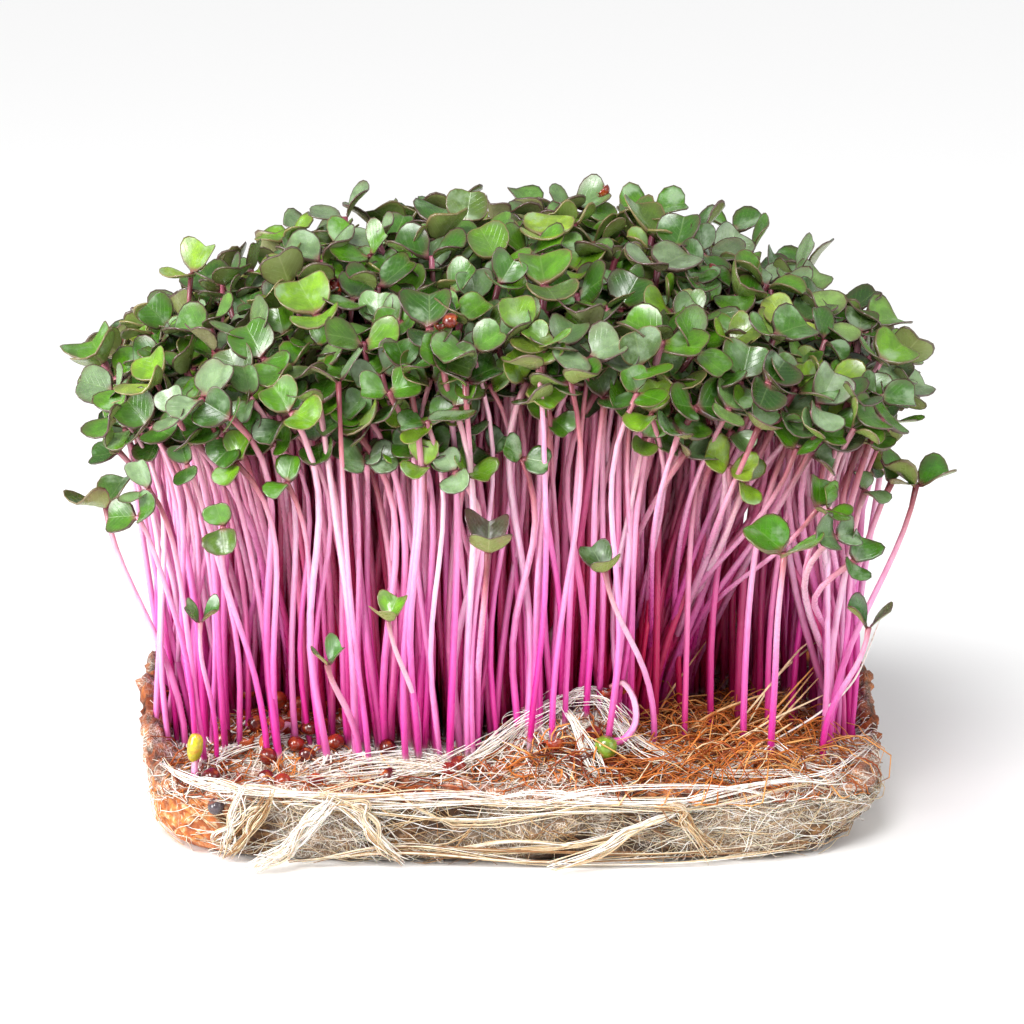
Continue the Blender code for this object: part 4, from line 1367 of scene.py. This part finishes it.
def net():
    """Fine threads that creep over the root skin, mostly along it."""
    draw = thread_draw
    copies = []
    for _ in range(NET_THREADS):
        front = draw.random() < 0.55
        walked = draw.gauss(0, 34 * MM) if front else draw.uniform(0, ROUND)
        height = draw.triangular(0.6, 11.0, 6.6) * MM
        start = on_wall(walked, height, 0.5 * MM)
        if BARE_CORNER[1] - 8 * MM < start.x < BARE_CORNER[0] and start.y < 0 and draw.random() < 0.75:
            continue
        along = (on_wall(walked + 1 * MM, height, 0.5 * MM) - start).normalized()
        slope = draw.choice((-1, 1)) * abs(draw.gauss(0, 0.9))
        heading = along * math.cos(slope) * draw.choice((-1, 1)) + Vector((0, 0, math.sin(slope)))
        hollow = start.y < 0 and abs(start.x - 2 * MM) < BARE_MIDDLE
        if hollow and draw.random() < 0.45:
            continue
        tint = thread_tint(draw, 0.80 if hollow else 0.42, 0.26)
        copies.append(crept(felt, start, heading, draw.uniform(5, 22) * MM, draw.uniform(0.04, 0.09) * MM, tint, draw,
                            wander=0.22, lift=max(0.0, draw.gauss(0.25, 0.5)) * MM))
    return copies


def front_wall(x, height, stand_off):
    """A point in front of the wall, all in millimetres."""
    half_x = WALL_HALF[0] + WALL_DRAFT * height * MM
    half_y = WALL_HALF[1] + WALL_DRAFT * height * MM
    y = -half_y * (1 - min(0.999, abs(x * MM / half_x)) ** CORNER_POWER) ** (1 / CORNER_POWER)
    return Vector((x * MM, y - stand_off * MM, height * MM))


# Points of x, height and stand-off in millimetres, then half the width and thickness of each strand, how many strands
# and threads in each, how far the strands stray from each other, their tone, and how much their lower end frays
HANKS = {
    "edge_rope": ([(-49, 13.0, -2), (-46, 12.0, .2), (-41, 11.6, .4), (-35, 11.4, .5), (-28, 11.2, .5), (-20, 10.9, .6),
                   (-12, 10.7, .6), (-3, 10.6, .4)], .38, .34, 4, 8, .6, .22, 1.5),
    "edge_rope_right": ([(-14, 10.6, .5), (-4, 10.6, .6), (5, 10.3, .6), (14, 10.8, .6), (23, 10.6, .5), (32, 11.4, .4),
                         (40, 11.6, .3), (47, 12.4, .2), (51.5, 12.4, -3)], .45, .40, 5, 5, 1.2, .34, 1.5),
    "edge_rope_low": ([(-44, 9.8, .3), (-30, 9.4, .4), (-18, 9.8, .6), (-6, 8.8, .6), (8, 9.6, .6), (20, 8.8, .5),
                       (34, 9.8, .4), (46, 9.6, .2)], .35, .35, 3, 4, 1.5, .62, 1.0),
    "left_leg": ([(-24.4, 10.6, 1.0), (-26.6, 8.2, 1.8), (-29.2, 5.8, 2.6), (-32.2, 3.0, 4.0), (-36.0, 0.9, 6.4)],
                 .5, .4, 6, 12, .7, .30, 1.6),
    "right_leg": ([(-25.6, 10.4, 1.2), (-21.2, 9.8, 1.6), (-18.8, 6.6, 2.0), (-17.2, 3.6, 2.1), (-15.2, 1.0, 1.4)],
                  .5, .4, 6, 11, .7, .5, .8),
    "left_hank": ([(-33.6, 10.6, .6), (-35.4, 7.8, 1.1), (-37.8, 4.4, 1.1), (-40.2, 1.6, .7)],
                  .5, .4, 5, 11, .7, .72, .8),
    "pale_hank": ([(-37.0, 10.8, .5), (-38.2, 7.6, 1.0), (-39.2, 4.6, 1.0), (-40.4, 2.0, .7)],
                  .5, .35, 4, 9, .9, .3, 1.2),
    "middle_strand": ([(25.5, 9.0, .7), (21.4, 7.6, 1.1), (17.4, 6.2, 1.9), (12.4, 3.6, 3.4), (5.6, 1.0, 5.0)],
                      .4, .35, 3, 11, .6, .45, .8),
    "right_hank": ([(20.4, 9.4, .8), (24.0, 8.6, 1.2), (26.6, 5.6, 1.3), (29.6, 1.6, .7)], .5, .4, 4, 11, .7, .66, .8),
    "under_strand": ([(-12, 1.2, .5), (0, 2.6, .9), (10, 4.0, 1.0), (20, 6.0, .8)], .4, .3, 3, 9, .6, .7, .5),
    "base_strand": ([(-30, 1.0, 1.6), (-14, 1.3, 1.3), (4, 0.9, 1.2), (24, 1.2, 1.0), (42, 2.4, .6)],
                    .35, .3, 3, 7, 1.0, .8, .5),
}


def strayed(points, spread, draw):
    """The route with each of its points moved a little."""
    return [front_wall(x + draw.gauss(0, spread), max(0.8, high + draw.gauss(0, spread)), off + abs(draw.gauss(0, 0.3)))
            for x, high, off in points]


hank_copies = []
for points, half_width, half_thick, strands, threads, spread, tone, fray in HANKS.values():
    for _ in range(strands):
        route = strayed(points, spread, thread_draw)
        shade = within(thread_draw.gauss(tone, 0.16))
        hank_copies += bundle(route, half_width * MM, half_thick * MM, threads, shade, thread_draw, fray=fray)
settle(gather("root_net", net(), root_look), "root", "root_skin")
settle(gather("root_hanks", hank_copies, root_look), "root", "root_skin")

# %% [markdown]
# ### Roots and fibres on the planted surface
#
# At the front each stem's foot splays into a small crown of white roots. Between them lies a web of roots, and
# under it the coir's own orange fibres. At the right loose fibre covers the open coir, and a few long straws
# stand out of it.

# %% Crowns, web and fibres
WEB_THREADS = 520
FIBRES = 1300
HEAP_FIBRES = 600
CLUMP_WEB = 150
CLUMP_FIBRES = 240


def any_heading(draw):
    """A level direction."""
    turn = draw.uniform(0, 2 * math.pi)
    return Vector((math.cos(turn), math.sin(turn), 0))


def crown(seedling, count, draw):
    """White roots that leave the foot of a stem and creep away over the coir."""
    foot = seedling["foot"]
    copies = []
    for _ in range(count):
        heading = any_heading(draw)
        route = crawl(soil, foot + heading * 0.5 * MM, heading, draw.uniform(2.5, 7.5) * MM, THREAD_STATIONS,
                      0.3, 0.0, draw)
        for index, point in enumerate(route):
            point.z += 0.9 * MM * math.exp(-index) * draw.uniform(0.7, 1.2)
        tint = thread_tint(draw, 0.14, 0.12)
        radii = draw.uniform(0.09, 0.16) * MM * numpy.linspace(1.5, 0.45, THREAD_STATIONS)
        copies.append(tube_copy(thread_form, route, radii, tint))
    return copies


def scattered(count, place_of, heading_of, lengths, radii, tones, wander, lifts, draw, form=thread_form):
    """Threads that start where place_of says and creep over the planted surface."""
    copies = []
    for _ in range(count):
        start = place_of()
        tint = thread_tint(draw, *tones)
        copies.append(crept(soil, start, heading_of(start), draw.uniform(*lengths) * MM, draw.uniform(*radii) * MM,
                            tint, draw, wander=wander, lift=max(0.0, draw.gauss(*lifts)) * MM, form=form))
    return copies


def on_front(draw, back=8.0):
    """A place on the planted surface, most likely near its front edge."""
    return Vector((draw.uniform(-48, 48) * MM, draw.triangular(-36, back, -34) * MM, SOIL_TOP))


def on_clump(draw):
    """A place on the clump of coir that stands up at the front."""
    x, y = draw.gauss(HUMP_AT[0], HUMP_HALF[0] * 0.5), draw.gauss(HUMP_AT[1], HUMP_HALF[1] * 0.55)
    return Vector((x, y, SOIL_TOP))


def in_heap(draw):
    """A place on the loose coir."""
    y = max(-33 * MM, draw.gauss(OPEN_AT[1] - 5 * MM, OPEN_HALF[1] * 0.45))
    x = min(44 * MM, open_middle(y) + draw.gauss(0, OPEN_HALF[0] * 0.5))
    return Vector((x, y, SOIL_TOP))


web = scattered(WEB_THREADS, lambda: on_front(thread_draw), lambda start: any_heading(thread_draw),
                (4, 16), (0.05, 0.12), (0.20, 0.18), 0.3, (0.5, 0.6), thread_draw)
for seedling in planned + list(late.values()) + fillers:
    foot = seedling["foot"]
    if foot.y < -12 * MM or abs(foot.x) > 40 * MM:
        web += crown(seedling, 6 if foot.y < -22 * MM else 3, thread_draw)
web += scattered(CLUMP_WEB, lambda: on_clump(thread_draw), lambda start: any_heading(thread_draw),
                 (5, 11), (0.05, 0.10), (0.14, 0.14), 0.14, (1.0, 0.7), thread_draw)
settle(gather("root_web", web, root_look), "root")

loose = scattered(FIBRES, lambda: on_front(thread_draw, 30.0), lambda start: any_heading(thread_draw),
                  (3, 12), (0.06, 0.15), (0.45, 0.22), 0.45, (0.4, 0.5), thread_draw)
loose += scattered(CLUMP_FIBRES, lambda: on_clump(thread_draw), lambda start: any_heading(thread_draw),
                   (4, 10), (0.08, 0.16), (0.42, 0.22), 0.4, (1.3, 0.9), thread_draw)
loose += scattered(HEAP_FIBRES, lambda: in_heap(thread_draw),
                   lambda start: Vector((1.0, thread_draw.gauss(0.25, 0.5), 0)) * thread_draw.choice((-1, 1)),
                   (7, 15), (0.07, 0.15), (0.60, 0.18), 0.3, (2.0, 1.4), thread_draw)
settle(gather("coir_fibres", loose, fibre_look), "coir", "coir_mat")


# %% [markdown]
# ## Seeds and the small things
#
# Swollen seeds lie where the plain model has its beads, with more round them at the front left. Some have split,
# and their empty coats are half shells; a few of those still stick to the leaves. The clump of coir at the front
# has silky strands drawn over it, pale straws lean out of the loose fibre, and a water drop lies among them.

# %% Small closed forms
def small_form(bm):
    """A template from a small bmesh that is kept as it is."""
    bmesh.ops.recalc_face_normals(bm, faces=bm.faces)
    return template_from(bm)


def seed_form(draw):
    """A round seed of unit radius, a little lopsided, with a dimple at one end."""
    bm = bmesh.new()
    bmesh.ops.create_uvsphere(bm, u_segments=20, v_segments=14, radius=1.0)
    aside = Vector((draw.uniform(0, 9), 0, 0))
    for vert in bm.verts:
        dimple = 0.20 * math.exp(-((vert.co.z - 1) / 0.10) ** 2)
        vert.co *= (1 + 0.10 * noise.noise(vert.co * 1.3 + aside)) * (1 - dimple)
    return small_form(bm)


def coat_form(draw):
    """Half of an empty seed coat: an open shell with a torn rim."""
    bm = bmesh.new()
    bmesh.ops.create_uvsphere(bm, u_segments=18, v_segments=12, radius=1.0)
    aside = Vector((draw.uniform(0, 9), 0, 0))
    torn = [vert for vert in bm.verts if vert.co.z > 0.15 + 0.5 * noise.noise(vert.co * 1.5 + aside)]
    bmesh.ops.delete(bm, geom=torn, context="VERTS")
    for vert in second_skin(bm):
        vert.co *= 0.86
    return small_form(bm)


def small_copy(form, place, axes, size, tone, draw):
    """A copy of a small form, stretched by the three sizes and turned by the axes."""
    points = form["points"] * numpy.array(size) @ numpy.array(axes).T + numpy.array(place)
    tint = numpy.tile((tone, draw.random(), draw.random()), (len(points), 1))
    return {"form": form, "points": points, PLACE: form["points"], TINT: tint}


def any_turn(draw):
    """Axes turned any way."""
    axis = Vector((draw.gauss(0, 1), draw.gauss(0, 1), draw.gauss(0, 1))).normalized()
    return Matrix.Rotation(draw.uniform(0, 2 * math.pi), 3, axis)


def on_coir(x, y, lift=0.0):
    """The point of the coir below this place, all in millimetres, with a lift."""
    ground, _, _, _ = soil.ray_cast(Vector((x * MM, y * MM, BACK_RIM + 9 * MM)), Vector((0, 0, -1)))
    return Vector((x * MM, y * MM, (ground.z if ground else SOIL_TOP) + lift * MM))


def make_seed_look(name, stops):
    """A wet glossy seed coat."""
    look, tree, shader = new_material(name)
    tone, _, _ = tags_of(tree, TINT)
    place = object_place(tree)
    skin = steps(tree, tone, *stops)
    skin, cells = uneven(tree, skin, colour("#2A0604"), 900.0, 0.55)
    spots = grains(tree, place, 700.0, 3.0)
    skin = blended(tree, rise(tree, spots, 0.52, 0.72, 0.0, 0.55), skin, colour("#D0682C"))
    relief(tree, shader, cells, 0.00006, 0.5)
    fill(tree, shader, {"Base Color": skin, "Roughness": rise(tree, cells, 0.3, 0.7, 0.16, 0.30),
                        "Coat Weight": 0.5, "Coat Roughness": 0.08})
    return look


small_draw = random.Random(31)
seed_forms = [seed_form(small_draw) for _ in range(3)]
coat_forms = [coat_form(small_draw) for _ in range(4)]
seed_look = make_seed_look("seed_coat", [(0.0, "#4A0A06"), (0.4, "#7A1A0E"), (0.7, "#A03416"), (1.0, "#C8602A")])
green_look = make_seed_look("green_seed", [(0.0, "#4C7A1E"), (0.5, "#8FAE2C"), (1.0, "#D8C82C")])

# %% Seeds and coats
COAT_CHANCE = 0.35
LOOSE_COATS = ((14.8, -32.2, 1.6), (14.2, -25.5, 4.6), (6.8, -30.4, 2.2), (16.0, -22.5, 5.0))  # as in MORE_SEEDS
LEAF_COATS = ((-8.8, -39), (-7.6, -41), (29, -12), (31, -9), (-41.5, 0), (-2.5, 5), (14, 12), (-24, -22))  # x, y
HIGH_ABOVE = 0.2  # metres, well over the leaves

seeds = []
for place in plain_seeds + more_seeds:
    split = place in more_seeds and small_draw.random() < COAT_CHANCE
    spot = on_coir(place.x / MM, place.y / MM, place.z / MM + 0.4)
    size = SEED_RADIUS * small_draw.uniform(1.0, 1.2)
    form = small_draw.choice(coat_forms if split else seed_forms)
    seeds.append(small_copy(form, spot, any_turn(small_draw), (size, size, size * 0.94),
                            small_draw.uniform(0.55, 1.0) if split else small_draw.uniform(0.0, 0.75), small_draw))
for x, y, lift in LOOSE_COATS:
    seeds.append(small_copy(small_draw.choice(coat_forms), on_coir(x, y, lift), any_turn(small_draw),
                            [SEED_RADIUS * 1.1] * 3, small_draw.uniform(0.6, 1.0), small_draw))
settle(gather("seeds", seeds, seed_look), "coir", "coir_mat")

tops = {}
bpy.context.view_layer.update()
for block in range(6):
    tops[block] = BVHTree.FromObject(bpy.data.objects[f"leaves_{block + 1}"], bpy.context.evaluated_depsgraph_get())
stuck = []
for x, y in LEAF_COATS:
    hits = [tree.ray_cast(Vector((x * MM, y * MM, HIGH_ABOVE)), Vector((0, 0, -1)))[0] for tree in tops.values()]
    high = max((hit for hit in hits if hit), key=lambda hit: hit.z, default=None)
    if high:
        stuck.append(small_copy(small_draw.choice(coat_forms), high + Vector((0, 0, 0.6 * MM)), any_turn(small_draw),
                                [SEED_RADIUS * 0.95] * 3, small_draw.uniform(0.2, 0.7), small_draw))
settle(gather("stuck_coats", stuck, seed_look), "coir")

green = [small_copy(seed_forms[0], on_coir(14.0, -31.4, 3.4), any_turn(small_draw),
                    (1.7 * MM, 1.6 * MM, 1.7 * MM), 0.3, small_draw),
         small_copy(seed_forms[1], on_coir(-44.3, -29.0, 4.6), Matrix.Rotation(0.12, 3, "Y"),
                    (1.15 * MM, 1.0 * MM, 2.3 * MM), 1.0, small_draw)]
settle(gather("green_seed_and_bud", green, green_look), "seedling_leaf")
grey_look = make_seed_look("grey_seed", [(0.0, "#3A3238"), (1.0, "#6A6268")])
grey = [small_copy(seed_forms[2], front_wall(-41.0, 8.4, 0.4), any_turn(small_draw), [1.25 * MM] * 3, 0.3, small_draw)]
settle(gather("grey_seed", grey, grey_look), "coir", "coir_mat")

# %% Curled seedlings, straws and silky strands
CURLS = [  # pink stems that are still bent over: x and y, and how high above the coir, in millimetres
    [(14.6, -30.4, 2.0), (16.6, -29.8, 2.3), (18.2, -29.0, 4.4), (18.0, -28.2, 7.0), (16.4, -27.6, 8.2),
     (14.6, -27.4, 6.6)],
    [(-44.3, -29.0, -0.8), (-44.4, -29.0, 1.0), (-44.3, -29.0, 3.2)],
    [(-31.0, -20.0, 0.0), (-30.6, -20.6, 2.4), (-31.6, -21.6, 3.6), (-32.8, -22.0, 2.6)],
    [(9.0, -20.0, 0.0), (8.0, -21.0, 4.0), (6.6, -21.4, 8.0), (6.2, -20.6, 12.0), (7.4, -19.4, 15.0)],
]
STRAWS = [  # all in millimetres
    [(27.3, -28, 12.6), (34.8, -20, 18.6), (41.7, -12, 24.6), (44.0, -10, 26.2)],
    [(35.0, -17, 16.0), (39.3, -12, 21.5), (45.7, -6, 25.5)],
    [(30.0, -29, 12.4), (35.6, -22, 16.2), (46.2, -14, 19.4)],
    [(24.4, -22, 12.6), (27.7, -18, 16.4), (36.1, -12, 18.4), (41.2, -8, 18.2)],
    [(33.0, -22, 13.0), (38.5, -16, 17.3), (45.6, -8, 22.7)],
    [(34.5, -23, 13.0), (39.8, -16, 16.4), (46.2, -8, 20.9)],
    [(32.0, -24, 12.8), (38.0, -17, 15.6), (44.8, -9, 21.4)],
    [(20.6, -12, 12.5), (23.6, -8, 17.6), (29.6, -2, 24.6)],
    [(30.0, -31, 12.0), (36.0, -25, 14.8), (41.0, -21, 17.0)],
    [(22.0, -31, 12.0), (29.0, -26, 14.0), (38.0, -24, 14.4), (44.0, -22, 15.0)],
]
ARC_ROOT = [(38.0, -22, 1.0), (45.3, -17, 5.8), (50.5, -14, 10.8), (54.1, -12, 19.0)]
SILK = [  # points, then how many strands and threads in each, how far they stray, and the half width of a strand
    ([(6.0, -24, 3.6), (0.5, -27, 2.2), (-8, -30, 0.9), (-19, -32, 0.7), (-31, -33.5, 0.5)], 6, 7, 1.3, 0.7),
    ([(5.6, -24.5, 4.0), (9.0, -29, 3.8), (12.0, -32.5, 2.2), (14, -35.5, 0.6)], 3, 8, 0.5, 0.35),
    ([(-2.0, -27, 1.0), (5, -26, 3.0), (12, -25, 3.4), (19, -28, 1.8)], 5, 6, 1.6, 0.8),
    ([(13.0, -25, 3.4), (19, -28.5, 1.8), (28, -31, 0.9), (40, -32.5, 0.8)], 4, 7, 1.3, 0.6),
    ([(-43.0, -27, 0.8), (-37, -24, 1.6), (-30, -22.5, 2.2)], 4, 5, 1.0, 0.4),
    ([(37.7, -25.5, 1.8), (33, -29.5, 0.8), (27, -33, 0.5)], 2, 8, 0.6, 0.4),
    ([(37.7, -25.5, 1.8), (43, -29, 0.7), (47, -30, 0.6)], 2, 7, 0.5, 0.4),
    ([(-27, -30, 0.6), (-16, -28, 1.4), (-6, -31, 0.8)], 4, 5, 1.4, 0.5),
]


def over_coir(points):
    """Points above the coir's level, in metres."""
    return [Vector((x * MM, y * MM, soil_height(x * MM, y * MM) + lift * MM)) for x, y, lift in points]


def long_tube(points, radii, tint):
    """A long tube on a smooth curve through a few points."""
    return tube_copy(long_form, smooth_route(points, LONG_STATIONS), radii, tint)


curl_tints = [(0.75, 0.5, 0.0), (0.2, 0.5, 0.0), (0.3, 0.5, 0.0), (0.95, 0.5, 0.0)]
curl_radii = numpy.linspace(0.62, 0.42, LONG_STATIONS) * MM
curls = [long_tube(over_coir(points), curl_radii, tint) for points, tint in zip(CURLS, curl_tints)]
settle(gather("curled_stems", curls, stem_look), "seedling_stem")
straws = [long_tube([Vector(point) * MM for point in points], tapered(0.20 * MM, LONG_STATIONS, 0.4),
                    (small_draw.uniform(0.78, 1.0), small_draw.random(), 0.0)) for points in STRAWS]
settle(gather("straws", straws, fibre_look), "coir")

silk = []
for points, strands, threads, spread, half in SILK:
    for _ in range(strands):
        moved = [(x + small_draw.gauss(0, spread), y + small_draw.gauss(0, spread * 0.7),
                  lift * small_draw.uniform(0.7, 1.2)) for x, y, lift in points]
        silk += bundle(over_coir(moved), half * MM, half * MM, threads, small_draw.uniform(0.0, 0.3), small_draw,
                       radius=0.065 * MM, fray=1.0)
silk.append(long_tube(over_coir(ARC_ROOT), tapered(0.2 * MM, LONG_STATIONS, 0.5), (0.15, 0.5, 0.0)))
settle(gather("silky_roots", silk, root_look), "root")

# %% A water drop
DROP_AT = (43.8, -8.0, 3.6)  # x and y, and how high above the coir, in millimetres
DROP_HALF = (1.55 * MM, 1.55 * MM, 1.35 * MM)
drop_look, drop_tree, drop_shader = new_material("water")
fill(drop_tree, drop_shader,
     {"Base Color": colour("#FFFFFF"), "Roughness": 0.0, "IOR": 1.33, "Transmission Weight": 1.0})
bm = bmesh.new()
bmesh.ops.create_icosphere(bm, subdivisions=4, radius=1.0)
drop_copy = small_copy(small_form(bm), on_coir(*DROP_AT), Matrix.Identity(3), DROP_HALF, 0.0, small_draw)
settle(gather("water_drop", [drop_copy], drop_look), "coir")


# %% [markdown]
# ## The stage
#
# The photograph is a bright studio picture with a white ground. A pale floor, a white surround, a wide sun and
# two soft lamps give the same open light. The sun shines from in front and above, the key at the left lays a
# sheen on the leaves, and the fill at the right keeps the stems glowing between each other.

# %% Floor, light and camera
CAMERA_RISE = math.radians(12.0)
CAMERA_AT = (0.7 * MM, 0.0, 43.5 * MM)  # what it looks at
CAMERA_FAR = 0.599  # metres from there
CAMERA_LENS = 142.8
FLOOR_HALF = 3.0
WORLD_LIGHT = 0.47
SUN_FROM = (-0.30, -1.0, 1.05)
SUN_WIDE = 22.0
SUN_STRENGTH = 2.2
LAMPS = {  # place and size in metres, and power
    "key": ((-0.62, -0.38, 0.26), 0.35, 6.5),
    "fill": ((0.55, -0.40, 0.35), 0.50, 2.0),
}


def make_floor():
    """A plain pale floor."""
    bm = bmesh.new()
    bmesh.ops.create_grid(bm, x_segments=1, y_segments=1, size=FLOOR_HALF)
    mesh = bpy.data.meshes.new("floor")
    bm.to_mesh(mesh)
    bm.free()
    look, tree, shader = new_material("floor")
    fill(tree, shader, {"Base Color": colour("#FCFCFC"), "Roughness": 0.9})
    mesh.materials.append(look)
    floor = in_scene("floor", mesh)
    floor.location.z = -0.05 * MM
    floor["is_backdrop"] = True


def make_lamp(name, place, size, power):
    """A square soft lamp that points at the block."""
    lamp = bpy.data.lights.new(name, "AREA")
    lamp.size = size
    lamp.energy = power
    held = in_scene(name, lamp)
    held.location = place
    held.rotation_euler = (Vector(CAMERA_AT) - Vector(place)).to_track_quat("-Z", "Y").to_euler()


def make_sun():
    """A wide soft light from in front and above, which also keeps the floor pale far away."""
    lamp = bpy.data.lights.new("sun", "SUN")
    lamp.angle = math.radians(SUN_WIDE)
    lamp.energy = SUN_STRENGTH
    in_scene("sun", lamp).rotation_euler = Vector(SUN_FROM).to_track_quat("Z", "Y").to_euler()


def make_camera():
    """The photograph's view: level with the leaves, looking slightly down."""
    lens = bpy.data.cameras.new("camera")
    lens.lens = CAMERA_LENS
    held = in_scene("camera", lens)
    back = Vector((0, -math.cos(CAMERA_RISE), math.sin(CAMERA_RISE)))
    held.location = Vector(CAMERA_AT) + back * CAMERA_FAR
    held.rotation_euler = (-back).to_track_quat("-Z", "Y").to_euler()
    bpy.context.scene.camera = held


make_floor()
make_sun()
for name, (place, size, power) in LAMPS.items():
    make_lamp(name, place, size, power)
make_camera()
world = bpy.data.worlds.new("surround")
world.use_nodes = True
surround = world.node_tree
seen = surround.nodes.new("ShaderNodeLightPath").outputs["Is Camera Ray"]  # white behind, and softer on the block
fill(surround, surround.nodes["Background"],
     {"Color": colour("#FFFFFF"), "Strength": rise(surround, seen, 0.0, 1.0, WORLD_LIGHT, 1.0)})
bpy.context.scene.world = world
bpy.context.scene.view_settings.view_transform = "Standard"

# %% Print both boxes, and finish
sizes = {"solids": [list(corner) for corner in solids_box], "visual": [list(corner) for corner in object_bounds()]}
for kind, box in sizes.items():
    print(kind, "box, in mm:", [[round(c / MM, 1) for c in corner] for corner in box])
